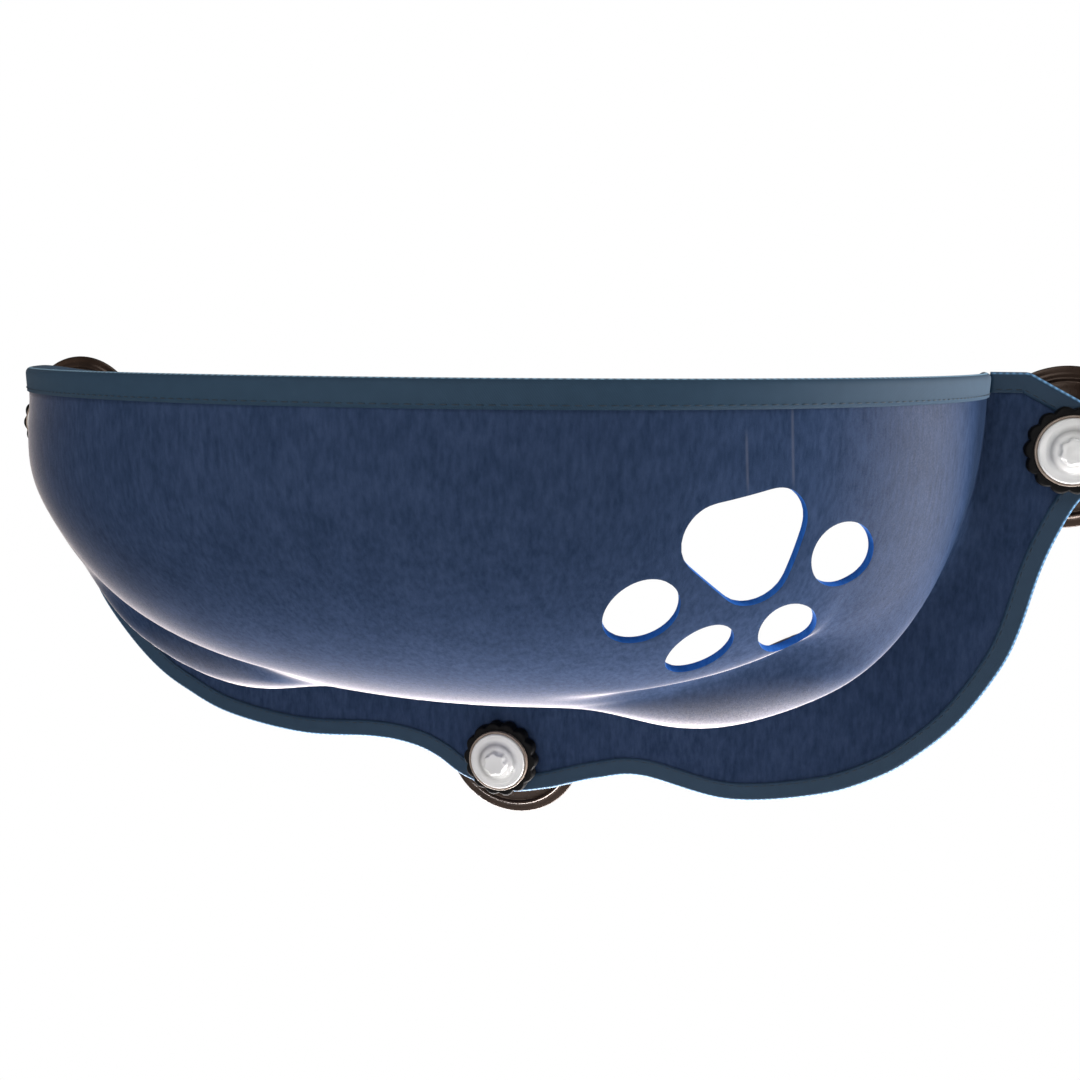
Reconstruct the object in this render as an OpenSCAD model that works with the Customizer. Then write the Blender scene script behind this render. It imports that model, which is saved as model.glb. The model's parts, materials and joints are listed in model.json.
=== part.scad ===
// Window mounted cat perch: a moulded felt pod with an open back and an open top, whose flange
// hangs on three screw suction cups.
// The glass is the plane y = 0 and the room lies towards -y. x runs along the window and z is up.
// The lower cup's axis meets the glass at the origin, which is where the whole frame is measured from.

/* [Window mounting] */
// Distance from the pod's side, at the rim, out to the axis of an upper cup
stud_out = 39; // [37:0.5:60]
// Distance from the pod's floor down to the axis of the lower cup
stud_below = 44.5; // [40:0.5:52]
// Gap between the glass and the back of the felt
felt_gap = 17; // [16:0.5:22]

/* [Felt pod] */
// Thickness of the felt
felt_t = 3; // [2:0.25:4]
// Width of the pod at its rim, outside the felt
pod_w = 486; // [440:2:490]
// How far the pod stands out from the back of the felt
pod_depth = 224; // [190:2:250]
// Height of the rim over the upper cups' axes
rim_rise = 36.5; // [34:0.5:50]
// Depth of the pod from its rim to its floor
pod_drop = 172; // [160:1:182]
// Height of the straight hem below the rim
hem_h = 14; // [12:0.5:24]
// How far the front of the rim sags below its two ends
rim_sag = 5; // [0:0.5:8]
// Squareness of the pod's lower corners, seen from the front, where 2 is an ellipse
corner_power = 2.47; // [2.2:0.01:3.2]
// Fullness of the pod seen from above, where 2 is an ellipse
plan_power = 2.1; // [2:0.05:2.4]
// Radius of the soft crease between the pod and its flange, on the room side
crease_r = 8; // [4:0.5:12]

/* [Corner furrows] */
// Where the furrow's middle is, in degrees down from the side of the rim
furrow_turn = 35; // [30:1:45]
// Depth of the furrow that the bent felt makes in each lower corner
furrow_depth = 10; // [0:0.5:12]
// Half the width of a furrow, across its run
furrow_half_w = 16.5; // [12:0.5:24]
// Distance of a furrow from the back of the felt, at its middle
furrow_out = 108; // [96:1:120]
// Length over which a furrow fades out up the side
furrow_up_len = 71; // [50:1:80]
// Length over which a furrow ends towards the floor
furrow_down_len = 101; // [70:1:110]
// How far the lip between a furrow and the flange swells
lip_swell = 16.5; // [0:0.5:18]
// Distance of that lip from the back of the felt
lip_out = 75; // [60:1:80]
// Half the width of that lip
lip_half_w = 24; // [20:0.5:28]

/* [Flange] */
// Felt round each upper stud, from its axis to the tip of the ear
ear_r = 22; // [20:0.5:24]
// Length of the ear's level top, from the stud's axis back towards the pod
ear_flat = 20; // [14:0.5:24]
// Felt below the lower stud, from its axis to the lowest point
tail_reach = 20.5; // [20.5:0.5:32]
// Distance of each side lobe's lowest point from the middle
lobe_x = 126; // [118:1:132]
// Drop of the right lobe below the lower cup's axis
lobe_drop = 11.5; // [8:0.5:14]
// Distance of the shallow valleys beside the tail from the middle
valley_x = 79; // [72:1:86]
// Drop of the right valley below the lower cup's axis
valley_drop = 3.5; // [2:0.5:7.5]
// How much higher the left lobe hangs than the right one, as the soft flange settled
left_lift = 13; // [0:0.5:14]
// Diameter of the holes in the felt for the eyelets
eyelet_hole_d = 12; // [10:0.5:14]

/* [Paw cut-outs] */
// Direction that the paw faces, in degrees to the right of straight ahead
paw_face = 36; // [20:1:46]
// How far that direction dips below level, in degrees
paw_dip = 30; // [10:1:36]
// Turn of the paw in its own plane, in degrees
paw_roll = 15; // [0:1:25]
// Radius of the main pad's rounded corners
pad_corner_r = 16; // [12:0.5:17]
// Distance of those corners' centres from the pad's middle
pad_corner_at = 12; // [8:0.5:14]
// Height of the pad's middle over the paw's middle
pad_rise = 22.5; // [16:0.5:26]
// Width and length of a toe
toe_size = [26.5, 36]; // [16:0.5:38]
// Distance of the two near toes from the pad's middle
near_toe_at = 54.5; // [50:0.5:58]
// Spread of the near toes from the paw's line, in degrees
near_toe_spread = 20.5; // [20:0.5:26]
// Lean of the near toes, in degrees
near_toe_lean = 24; // [10:1:30]
// Distance of the two far toes from the pad's middle
far_toe_at = 47; // [45:0.5:54]
// Spread of the far toes from the paw's line, in degrees
far_toe_spread = 65; // [62:1:74]
// Lean of the far toes, in degrees
far_toe_lean = 32; // [20:1:50]

/* [Bindings] */
// Thickness of the woven tape
tape_t = 1; // [0.8:0.1:1.4]
// Width of the tape's face on the flange
edge_tape_w = 10; // [8:0.5:12]
// Width of the tape's face on the rim
rim_tape_w = 11; // [9:0.5:12]
// Diameter of the spring wire in the rim
wire_d = 2.5; // [2:0.25:3]

/* [Suction cups] */
// Diameter of a suction cup
cup_d = 80; // [72:1:84]
// Width of the flat sealing ring at the lip
seal_w = 3; // [2:0.5:4]
// Thickness of the cup at its lip
lip_t = 1.6; // [1.2:0.1:2]
// Width of the raised outer ring of the cup
cup_ring_w = 6; // [4:0.5:8]
// Rise of the rib that edges that ring
cup_rib_h = 1.2; // [0.8:0.1:1.8]
// Height of the dome over the glass where it meets the neck
dome_h = 10; // [9:0.25:10.5]
// Height of the hollow under the cup
hollow_h = 4.6; // [3.5:0.1:5]
// Diameter of the cup's neck
neck_d = 22; // [20:0.5:26]

/* [Studs and knobs] */
// Diameter of the stud
stud_d = 6; // [5:0.25:7]
// Thread pitch of the stud, which is how far one turn of the knob moves it and sets its chamfer
thread_pitch = 1; // [0.8:0.05:1.25]
// Diameter of the stud's head, moulded into the cup
head_d = 16; // [13:0.5:17]
// Thickness of the stud's head
head_t = 2.4; // [1.8:0.1:3]
// Diameter of the washer behind the felt
back_washer_d = 19; // [17:0.5:20]
// Thickness of the washer behind the felt
back_washer_t = 1.5; // [1:0.1:2]
// Diameter of the eyelet's two flanges
eyelet_d = 18; // [17:0.5:19]
// Thickness of the eyelet's metal
eyelet_t = 0.8; // [0.6:0.1:1]
// Diameter of the washer in front of the felt
front_washer_d = 19; // [17:0.5:20]
// Thickness of the washer in front of the felt
front_washer_t = 1.2; // [1:0.1:1.6]
// Diameter of the black hand nut over its lobes
nut_d = 42; // [36:0.5:44]
// Thickness of the black hand nut
nut_t = 8; // [6:0.5:10]
// Number of lobes on the hand nut
nut_lobes = 14; // [10:1:16]
// Diameter of the white cap
cap_d = 31; // [28:0.5:32]
// Thickness of the white cap at its edge
cap_t = 3; // [2.5:0.25:4]
// How far the cap's face dips inside its edge
cap_dish = 0.5; // [0:0.1:0.8]
// Width of the taupe ring that shows round the cap
ring_w = 1.2; // [1:0.1:1.5]
// Thickness of the ring's floor under the cap
ring_floor_t = 0.8; // [0.6:0.1:1.2]
// Diameter of the cap's fluted boss over its lobes
boss_d = 12.5; // [11:0.5:14]
// Height of the cap's fluted boss
boss_h = 5.5; // [4:0.25:7]
// Number of lobes on the cap's boss
boss_lobes = 8; // [6:1:10]

/* [Hidden] */
// Clearance between pieces that are sewn, pressed or bolted together
seat_gap = 0.05;
// Clearance round the stud in the pieces that run on it
run_gap = 0.06;
// Clearance round a piece that passes loosely through another, and between the felt and the rim's tape
loose_gap = 0.3;
// Overrun of every cut
over = 1;
// Smoothness of the round pieces
$fn = 64;
// Number of steps across the pod, from one side round its floor to the other
pod_steps = 44;
// Number of steps out from the flange across the crease, across the lip and the furrow, and to the front
crease_steps = 4;
lip_steps = 17;
front_steps = 11;
// Number of steps along the rim
rim_steps = 56;
// Number of steps round a toe's cut-out
toe_steps = 28;
// Number of steps in each span of the flange's outline
span_steps = 4;

// Main places
pod_half = pod_w / 2;
stud_x = pod_half + stud_out;
cup_rise = pod_drop - rim_rise + stud_below;
rim_z = cup_rise + rim_rise;
felt_back_y = -felt_gap;
felt_front_y = felt_back_y - felt_t;
hem_z = rim_z - hem_h;
belly_drop = pod_drop - hem_h;
felt_edge_gap = wire_d + loose_gap * 2 + tape_t;
// Distance out at which the furrow has faded into the pod's plain front
furrow_end_share = 1.7;
furrow_end = furrow_out + furrow_half_w * furrow_end_share;

// The pod's surface. A place on it has a turn, which runs from 0 at the right of the rim, through
// 90 at the floor, to 180 at the left, and a reach, which runs from 0 at the flange to 90 at the front.
function corner_radius(turn, hw, hd) =
    1 / pow(pow(abs(cos(turn)) / hw, corner_power) + pow(sin(turn) / hd, corner_power), 1 / corner_power);
function u_point(turn, hw, hd) = corner_radius(turn, hw, hd) * [cos(turn), sin(turn)];
function unit(v) = v / norm(v);
function u_normal(turn, hw, hd) =
    let (p = u_point(turn, hw, hd))
    unit([sign(p[0]) * pow(abs(p[0]) / hw, corner_power - 1) / hw,
          pow(p[1] / hd, corner_power - 1) / hd]);
function sag(out) = rim_sag * out / pod_depth;
function bell(v) = exp(-v * v);

function open_share(out, full) = pow(max(0, 1 - pow(out / full, plan_power)), 1 / plan_power);

// How far the surface stands in or out at a place. The furrow and its lip run along each lower corner.
// They fade out slowly up the side, where the rim's hem is plain, and end sooner towards the floor.
furrow_climb_share = 0.13;
fade_share = 3;
hem_fade_share = 6;
function fade(down) = down > 0 ? exp(-pow(down / furrow_down_len, 4)) : bell(down / furrow_up_len);
function swell(turn, out) =
    let (down = (min(turn, 180 - turn) - furrow_turn) * PI / 180 * pod_half,
         slant = furrow_out + down * furrow_climb_share)
    fade(down) * min(1, sin(turn) * hem_fade_share) * (lip_swell * bell((out - lip_out) / lip_half_w)
                  - furrow_depth * bell((out - slant) / furrow_half_w));

// The crease is tight at the rim and has its full radius over most of the pod.
function crease_share(turn) = let (s = min(1, sin(turn) * 2)) s * s * (3 - 2 * s);
function flare(turn, out, rise, r) =
    let (d = out - rise) d >= r ? 0 : crease_share(turn) * (r - sqrt(max(0, r * r - (r - d) * (r - d))));

// A point of the pod, with the wall's depth under the outer surface, the distance out from the back
// of the felt, and the crease's start and radius.
function pod_point(turn, out, under, rise, r) =
    let (hw = pod_half - under, hd = belly_drop - under, full = pod_depth - under,
         s = open_share(out, full),
         e = flare(turn, out, rise, r) + swell(turn, out) * min(1, s * fade_share),
         p = u_point(turn, hw, hd) * s + u_normal(turn, hw, hd) * e)
    [p[0], felt_back_y - out, hem_z - sag(out) - p[1]];

// Distances out from the back of the felt at which the pod is sampled
function outs(under, rise, r) =
    let (full = pod_depth - under, start = rise + r, a0 = asin(furrow_end / full))
    concat([for (i = [0:crease_steps - 1]) rise + r * pow(i / crease_steps, 2)],
           [for (i = [0:lip_steps - 1]) start + (furrow_end - start) * i / lip_steps],
           [for (i = [0:front_steps - 1]) full * sin(a0 + (90 - a0) * i / front_steps)]);

// A closed body under the pod's surface, with its straight hem on top. Its front is a pole.
module pod_body(under, rise, r, hem_up) {
    ds = outs(under, rise, r);
    n = len(ds);
    m = pod_steps + 3;
    full = pod_depth - under;
    function edge(x, out) = [x, felt_back_y - out, hem_z - sag(out) + hem_up];
    rows = [for (d = ds)
        let (row = [for (i = [0:pod_steps]) pod_point(180 * i / pod_steps, d, under, rise, r)])
        each concat([edge(row[0][0], d)], row, [edge(row[pod_steps][0], d)])];
    pole = n * m;
    pts = concat(rows, [[0, felt_back_y - full, hem_z - sag(full)], edge(0, full)]);
    faces = concat(
        [for (j = [0:n - 2], i = [0:m - 2])
            each [[j * m + i, j * m + i + 1, (j + 1) * m + i + 1],
                  [j * m + i, (j + 1) * m + i + 1, (j + 1) * m + i]]],
        [for (i = [1:m - 3]) [(n - 1) * m + i, (n - 1) * m + i + 1, pole]],
        [[(n - 1) * m, (n - 1) * m + 1, pole], [(n - 1) * m, pole, pole + 1]],
        [[n * m - 2, n * m - 1, pole + 1], [n * m - 2, pole + 1, pole]],
        [[for (i = [m - 1:-1:0]) i]],
        [concat([for (j = [0:n - 1]) j * m], [pole + 1], [for (j = [n - 1:-1:0]) j * m + m - 1])]);
    polyhedron(pts, faces, convexity = 6);
}

// The flange's outline as one open line, from the right end of the rim round to the left end
function blend_point(a, b, c, d, t) =
    (b * 2 + (c - a) * t + (a * 2 - b * 5 + c * 4 - d) * t * t + (b * 3 - a - c * 3 + d) * t * t * t) / 2;
// Flank of the flange, as shares of the stud's distance from the middle and of the cups' rise
flank_shares = [[1.02, 0.866], [0.989, 0.768], [0.965, 0.661], [0.939, 0.498], [0.911, 0.386],
                [0.851, 0.236], [0.787, 0.131], [0.72, 0.052], [0.615, -0.02]];
// Shoulder of the tail, as shares of the valley's distance and of the tail's reach
tail_shares = [[0.7, 0.346], [0.5, 0.575], [0.3, 0.815]];
// How much of the left side's lift each knot takes, from the ear down to the tail's tip
ear_turns = [76, 46, 16, -14, -44];
lift_shares = [0, 0, for (a = ear_turns) 0, 0, 0, 0, 0, 0.23, 0.65, 0.77, 0.95, 0.97, 1, 0.53, 0.63, 0.55, 0.19, 0];
felt_top_z = rim_z - tape_t;
ear_knots = [for (a = ear_turns) [stud_x + ear_r * cos(a), cup_rise + ear_r * sin(a)]];
ear_top = [stud_x - ear_flat, felt_top_z];
right_knots = concat(
    [ear_top, (ear_top + ear_knots[0]) / 2],
    ear_knots,
    [for (s = flank_shares) [s[0] * stud_x, s[1] * cup_rise]],
    [[lobe_x, -lobe_drop], [valley_x, -valley_drop]],
    [for (s = tail_shares) [s[0] * valley_x, -s[1] * tail_reach]],
    [[0, -tail_reach]]);
function mirrored(p) = [-p[0], p[1]];
knots = concat(right_knots, [for (i = [len(right_knots) - 2:-1:0])
    mirrored(right_knots[i]) + [0, left_lift * lift_shares[i]]]);
edge_start = [pod_half + tape_t + loose_gap * 2, felt_top_z];
outline = concat(
    [edge_start],
    [for (i = [0:len(knots) - 2], k = [0:span_steps - 1])
        let (a = i == 0 ? knots[0] * 2 - knots[1] : knots[i - 1],
             d = i == len(knots) - 2 ? knots[i + 1] * 2 - knots[i] : knots[i + 2])
        blend_point(a, knots[i], knots[i + 1], d, k / span_steps)],
    [knots[len(knots) - 1], mirrored(edge_start)]);
// The same line moved inwards by a distance, or outwards where it is negative
function left_of(v) = [v[1], -v[0]];
function inset(pts, by) =
    [for (i = [0:len(pts) - 1])
        let (a = pts[max(0, i - 1)], b = pts[i], c = pts[min(len(pts) - 1, i + 1)],
             n1 = i == 0 ? left_of(unit(c - b)) : left_of(unit(b - a)),
             n2 = i == len(pts) - 1 ? n1 : left_of(unit(c - b)),
             n = unit(n1 + n2))
        b + n * by / (n * n1)];
function reversed(pts) = [for (i = [len(pts) - 1:-1:0]) pts[i]];

// Lays a flat drawing against the window, from a distance before the glass and as thick as said
module slab(from, thick) {
    translate([0, -from, 0]) rotate([90, 0, 0]) linear_extrude(thick) children();
}

module at_cup(place) {
    translate(place) rotate([90, 0, 0]) children();
}
left_cup = [-stud_x, 0, cup_rise];
right_cup = [stud_x, 0, cup_rise];
lower_cup = [0, 0, 0];

// The paw's middle, as shares of the pod's half width, of its depth and of its drop below the rim
paw_shares = [0.614, 0.725, 0.51];
paw_at = [pod_half * paw_shares[0], felt_back_y - pod_depth * paw_shares[1], rim_z - pod_drop * paw_shares[2]];
cut_reach = felt_t * 10;

// A toe stands at a distance from the pad's middle, spread to one side of the paw's line
module toe(at, spread, lean) {
    translate([at * sin(spread), -at * cos(spread)]) rotate(lean) 
        polygon([for (i = [0:toe_steps - 1])
            [toe_size[0] / 2 * cos(i * 360 / toe_steps), toe_size[1] / 2 * sin(i * 360 / toe_steps)]]);
}

// The main pad is a triangle on its point, with wide rounded corners
module main_pad() {
    polygon([for (a = [30, 150, 270], t = [-60:10:60])
        pad_corner_at * [cos(a), sin(a)] + pad_corner_r * [cos(a + t), sin(a + t)]]);
}

module paw() {
    translate(paw_at) rotate([90 + paw_dip, 0, paw_face]) translate([0, 0, -cut_reach]) linear_extrude(cut_reach * 2)
        rotate(paw_roll) translate([0, pad_rise]) {
            main_pad();
            for (side = [-1, 1]) {
                toe(near_toe_at, side * near_toe_spread, side * near_toe_lean);
                toe(far_toe_at, side * far_toe_spread, side * far_toe_lean);
            }
        }
}

module felt_shell() color("#2b3954") {
    difference() {
        union() {
            slab(felt_gap, felt_t) polygon(outline);
            pod_body(0, felt_t, crease_r, hem_h - felt_edge_gap);
        }
        pod_body(felt_t, 0, crease_r + felt_t, hem_h + over);
        translate([0, over, 0]) intersection() {
            pod_body(felt_t, 0, crease_r + felt_t, hem_h + over);
            translate([-pod_w, felt_back_y - over * 2, -pod_w]) cube([pod_w * 2, over * 4, pod_w * 2]);
        }
        paw();
        for (c = [left_cup, right_cup, lower_cup])
            at_cup(c) translate([0, 0, felt_gap - over]) cylinder(h = felt_t + over * 2, d = eyelet_hole_d);
    }
}

module flange_binding() color("#1f3d52") {
    outer = inset(outline, -tape_t);
    inner = inset(outline, edge_tape_w - tape_t);
    slot_out = inset(outline, -seat_gap);
    slot_in = inset(outline, edge_tape_w + over);
    difference() {
        slab(felt_gap - tape_t - seat_gap, felt_t + (tape_t + seat_gap) * 2)
            polygon(concat(outer, reversed(inner)));
        slab(felt_gap - seat_gap, felt_t + seat_gap * 2)
            polygon(concat(slot_out, reversed(slot_in)));
    }
}

// A section swept along the rim. Its points are an offset out from the felt and a height over the rim.
// Its two ends are closed by the pieces that are listed.
module along_rim(section, end_pieces, start_out) {
    n = len(section);
    a0 = asin(start_out / pod_depth);
    function station(k) =
        let (a = a0 + (180 - 2 * a0) * k / rim_steps,
             out = pod_depth * sin(a),
             p = [sign(cos(a)) * pod_half * open_share(out, pod_depth), out],
             q = unit([sign(p[0]) * pow(abs(p[0]) / pod_half, plan_power - 1) / pod_half,
                       pow(out / pod_depth, plan_power - 1) / pod_depth]))
        [for (s = section) [p[0] + q[0] * s[0], felt_back_y - p[1] - q[1] * s[0], rim_z - sag(p[1]) + s[1]]];
    pts = [for (k = [0:rim_steps]) each station(k)];
    sides = [for (k = [0:rim_steps - 1], i = [0:n - 1]) let (j = (i + 1) % n)
        each [[k * n + i, (k + 1) * n + i, (k + 1) * n + j], [k * n + i, (k + 1) * n + j, k * n + j]]];
    caps = concat(end_pieces, [for (f = end_pieces) [for (i = reversed(f)) rim_steps * n + i]]);
    polyhedron(pts, concat(sides, caps), convexity = 6);
}

module rim_binding() color("#24506b") {
    a = tape_t + loose_gap;
    b = felt_t + loose_gap;
    along_rim([[a, -rim_tape_w], [a, 0], [-b - tape_t, 0], [-b - tape_t, -rim_tape_w],
               [-b, -rim_tape_w], [-b, -tape_t], [loose_gap, -tape_t], [loose_gap, -rim_tape_w]],
              [[0, 1, 6, 7], [1, 2, 5, 6], [2, 3, 4, 5]],
              felt_t + tape_t + loose_gap);
}

module rim_wire() color("#9aa0a6") {
    r = wire_d / 2;
    sides = 8;
    along_rim([for (i = [0:sides - 1])
                  [-felt_t / 2 + r * cos(-i * 360 / sides), -tape_t - loose_gap - r + r * sin(-i * 360 / sides)]],
              [[for (i = [0:sides - 1]) i]],
              felt_t + tape_t + loose_gap * 2);
}

// A cup is drawn from the glass up: sealing ring, raised outer ring with its rib, dome and neck
cup_r = cup_d / 2;
stack_h = felt_gap - eyelet_t - seat_gap - back_washer_t - seat_gap;
head_z = hollow_h + head_t;
// Height of the dome's foot over the lip, as a share of the rib's rise
dome_foot_share = 1.6;
dome_start = [cup_r - cup_ring_w - cup_rib_h * 2, lip_t + cup_rib_h * dome_foot_share];
function dome_point(t) = [neck_d / 2 + (dome_start[0] - neck_d / 2) * cos(t),
                          dome_start[1] + (dome_h - dome_start[1]) * sin(t)];
function hollow_point(t) = [(cup_r - seal_w) * cos(t), hollow_h * sin(t)];
module suction_cup() color("#17110f") {
    pocket_r = head_d / 2 + seat_gap;
    bore_r = stud_d / 2 + seat_gap;
    rib_top = lip_t + cup_rib_h * 2;
    rotate_extrude() polygon(concat(
        [[cup_r - seal_w, 0], [cup_r, 0], [cup_r, lip_t], [cup_r - lip_t / 2, lip_t + cup_rib_h / 2],
         [cup_r - cup_ring_w, lip_t + cup_rib_h], [cup_r - cup_ring_w - cup_rib_h / 2, rib_top],
         [cup_r - cup_ring_w - cup_rib_h * 1.5, rib_top]],
        [for (t = [0:10:80]) dome_point(t)],
        [[neck_d / 2 + cup_rib_h, dome_h], [neck_d / 2, dome_h + cup_rib_h], [neck_d / 2, stack_h],
         [bore_r, stack_h], [bore_r, head_z + head_t + seat_gap], [pocket_r, head_z + head_t + seat_gap],
         [pocket_r, head_z - seat_gap], [0, head_z - seat_gap], [0, hollow_h]],
        [for (t = [80:-10:10]) hollow_point(t)]));
}

// The knob's stack, counted from the glass
front_h = felt_gap + felt_t + eyelet_t + seat_gap;
nut_z = front_h + seat_gap + front_washer_t + seat_gap;
ring_z = nut_z + nut_t + seat_gap;
cap_z = ring_z + ring_floor_t + seat_gap;
cap_face_z = cap_z + cap_t;
stud_end = cap_face_z + boss_h / 4;

// Depth of a screw thread, as a share of its pitch
thread_depth_share = 0.613;
module stud() color("#b9bec4") {
    tip = thread_pitch * thread_depth_share;
    rotate_extrude() polygon([
        [0, head_z], [head_d / 2, head_z], [head_d / 2, head_z + head_t], [stud_d / 2, head_z + head_t],
        [stud_d / 2, stud_end - tip], [stud_d / 2 - tip, stud_end], [0, stud_end]]);
}

module flat_washer(z, d, t, hole) {
    translate([0, 0, z]) difference() {
        cylinder(h = t, d = d);
        translate([0, 0, -over]) cylinder(h = t + over * 2, d = hole);
    }
}

module back_washer() color("#8d9298")
    flat_washer(stack_h + seat_gap, back_washer_d, back_washer_t, stud_d + loose_gap * 2);

// The eyelet is pressed through the felt: a barrel with a flange on each face
module eyelet() color("#b08d57") {
    barrel_r = eyelet_hole_d / 2 - seat_gap;
    bottom = felt_gap - seat_gap - eyelet_t;
    rotate_extrude() polygon([
        [barrel_r - eyelet_t, bottom], [eyelet_d / 2, bottom], [eyelet_d / 2, bottom + eyelet_t],
        [barrel_r, bottom + eyelet_t], [barrel_r, front_h - eyelet_t], [eyelet_d / 2, front_h - eyelet_t],
        [eyelet_d / 2, front_h], [barrel_r - eyelet_t, front_h]]);
}

module front_washer() color("#8d9298")
    flat_washer(front_h + seat_gap, front_washer_d, front_washer_t, stud_d + run_gap * 2);

// A round body with lobes along its edge, for fingers to hold. A lobe's radius is a share of the lobes'
// spacing, and the body between them reaches to a share of that radius below the lobes' tips.
lobe_r_share = 0.28;
lobe_sink_share = 0.8;
module fluted(z, d, t, lobes) {
    lobe_r = d * PI / lobes * lobe_r_share;
    translate([0, 0, z]) linear_extrude(t) union() {
        circle(r = d / 2 - lobe_r * lobe_sink_share);
        for (i = [0:lobes - 1]) rotate(i * 360 / lobes) translate([d / 2 - lobe_r, 0]) circle(r = lobe_r, $fn = 24);
    }
}

module hand_nut() color("#15161a") {
    difference() {
        fluted(nut_z, nut_d, nut_t, nut_lobes);
        translate([0, 0, nut_z - over]) cylinder(h = nut_t + over * 2, d = stud_d + run_gap * 2);
    }
}

// How far the ring's lip comes up round the cap, as a share of the cap's thickness
ring_lip_share = 0.6;
module trim_ring() color("#8a6f63") {
    inner_r = cap_d / 2 + seat_gap;
    outer_r = inner_r + ring_w;
    lip_z = cap_z + cap_t * ring_lip_share;
    rotate_extrude() polygon([
        [boss_d / 2 + ring_w, ring_z], [outer_r, ring_z], [outer_r, lip_z - ring_w / 3],
        [outer_r - ring_w / 3, lip_z], [inner_r, lip_z], [inner_r, ring_z + ring_floor_t],
        [boss_d / 2 + ring_w, ring_z + ring_floor_t]]);
}

// The cap is a shallow dish with a rounded edge and a fluted boss, and hides the stud's end
module cap() color("#f4f4f2") {
    bore_r = stud_d / 2 + loose_gap;
    bore_top = stud_end + loose_gap;
    edge = cap_t / 2;
    difference() {
        union() {
            rotate_extrude() polygon(concat(
                [[0, cap_z], [cap_d / 2, cap_z]],
                [for (t = [0:15:90]) [cap_d / 2 - edge + edge * cos(t), cap_z + edge + edge * sin(t)]],
                [[cap_d / 2 - edge * 2, cap_face_z - cap_dish], [boss_d / 2 + cap_dish * 4, cap_face_z - cap_dish / 2],
                 [boss_d / 2 + cap_dish, cap_face_z + cap_dish], [0, cap_face_z + cap_dish]]));
            fluted(cap_face_z - over, boss_d, boss_h + over, boss_lobes);
        }
        translate([0, 0, cap_z - over]) cylinder(h = bore_top - cap_z + over, r = bore_r);
    }
}

module left_suction_cup() at_cup(left_cup) suction_cup();
module right_suction_cup() at_cup(right_cup) suction_cup();
module lower_suction_cup() at_cup(lower_cup) suction_cup();
module left_stud() at_cup(left_cup) stud();
module right_stud() at_cup(right_cup) stud();
module lower_stud() at_cup(lower_cup) stud();
module left_back_washer() at_cup(left_cup) back_washer();
module right_back_washer() at_cup(right_cup) back_washer();
module lower_back_washer() at_cup(lower_cup) back_washer();
module left_eyelet() at_cup(left_cup) eyelet();
module right_eyelet() at_cup(right_cup) eyelet();
module lower_eyelet() at_cup(lower_cup) eyelet();
module left_front_washer() at_cup(left_cup) front_washer();
module right_front_washer() at_cup(right_cup) front_washer();
module lower_front_washer() at_cup(lower_cup) front_washer();
module left_hand_nut() at_cup(left_cup) hand_nut();
module right_hand_nut() at_cup(right_cup) hand_nut();
module lower_hand_nut() at_cup(lower_cup) hand_nut();
module left_trim_ring() at_cup(left_cup) trim_ring();
module right_trim_ring() at_cup(right_cup) trim_ring();
module lower_trim_ring() at_cup(lower_cup) trim_ring();
module left_cap() at_cup(left_cup) cap();
module right_cap() at_cup(right_cup) cap();
module lower_cap() at_cup(lower_cup) cap();

felt_shell();
flange_binding();
rim_binding();
rim_wire();
left_suction_cup();
left_stud();
left_back_washer();
left_eyelet();
left_front_washer();
left_hand_nut();
left_trim_ring();
left_cap();
right_suction_cup();
right_stud();
right_back_washer();
right_eyelet();
right_front_washer();
right_hand_nut();
right_trim_ring();
right_cap();
lower_suction_cup();
lower_stud();
lower_back_washer();
lower_eyelet();
lower_front_washer();
lower_hand_nut();
lower_trim_ring();
lower_cap();
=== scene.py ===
# %% [markdown]
# # A felt window perch for a cat
# The perch is a pod of moulded felt with an open back and an open top. Its flange is bound with tape and
# hangs on three screw suction cups, each with a black hand nut and a white cap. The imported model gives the
# frame: the glass is the plane y = 0, the room lies towards -y, and the lower cup's axis is the origin.
# Everything is in metres.

# %% Load the frame
import json
import math

import bmesh
import bpy
import numpy as np
from mathutils import Matrix, Vector, noise


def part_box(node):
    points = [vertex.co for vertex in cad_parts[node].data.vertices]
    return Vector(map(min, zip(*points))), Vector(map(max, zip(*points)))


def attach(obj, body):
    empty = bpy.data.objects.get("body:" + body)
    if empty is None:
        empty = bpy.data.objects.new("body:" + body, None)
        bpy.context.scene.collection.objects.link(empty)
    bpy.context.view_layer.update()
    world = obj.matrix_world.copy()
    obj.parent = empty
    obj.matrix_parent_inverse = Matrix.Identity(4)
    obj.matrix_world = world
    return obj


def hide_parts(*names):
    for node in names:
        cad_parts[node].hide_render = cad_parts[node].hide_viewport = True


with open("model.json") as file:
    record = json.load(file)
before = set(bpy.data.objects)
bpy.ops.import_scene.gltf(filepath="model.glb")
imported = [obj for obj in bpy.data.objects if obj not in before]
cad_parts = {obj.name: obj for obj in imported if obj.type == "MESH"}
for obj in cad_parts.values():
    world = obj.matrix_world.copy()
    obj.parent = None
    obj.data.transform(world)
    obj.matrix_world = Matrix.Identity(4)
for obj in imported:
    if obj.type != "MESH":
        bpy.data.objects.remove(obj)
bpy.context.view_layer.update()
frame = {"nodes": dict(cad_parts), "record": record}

MM = 0.001
TINY = 1e-9
SIDES = ("left", "right", "lower")
CUP_AT = {m["name"].replace("_cup_face", ""): Vector(m["pos_m"]) for m in frame["record"]["mounts"]}
print("cups at", {side: tuple(round(c, 4) for c in CUP_AT[side]) for side in SIDES})

# %% [markdown]
# ## Camera
# The camera stands where the photograph was taken: level with the rim, to the right of the pod's middle,
# turned back towards it and looking slightly down. Its focal length is known in pixels of a square frame,
# so the lens follows from the sensor's width. Its three angles could be set one by one, but with the view
# axes worked out as vectors the roll turns about the line of sight, as it does on a real camera.

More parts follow.
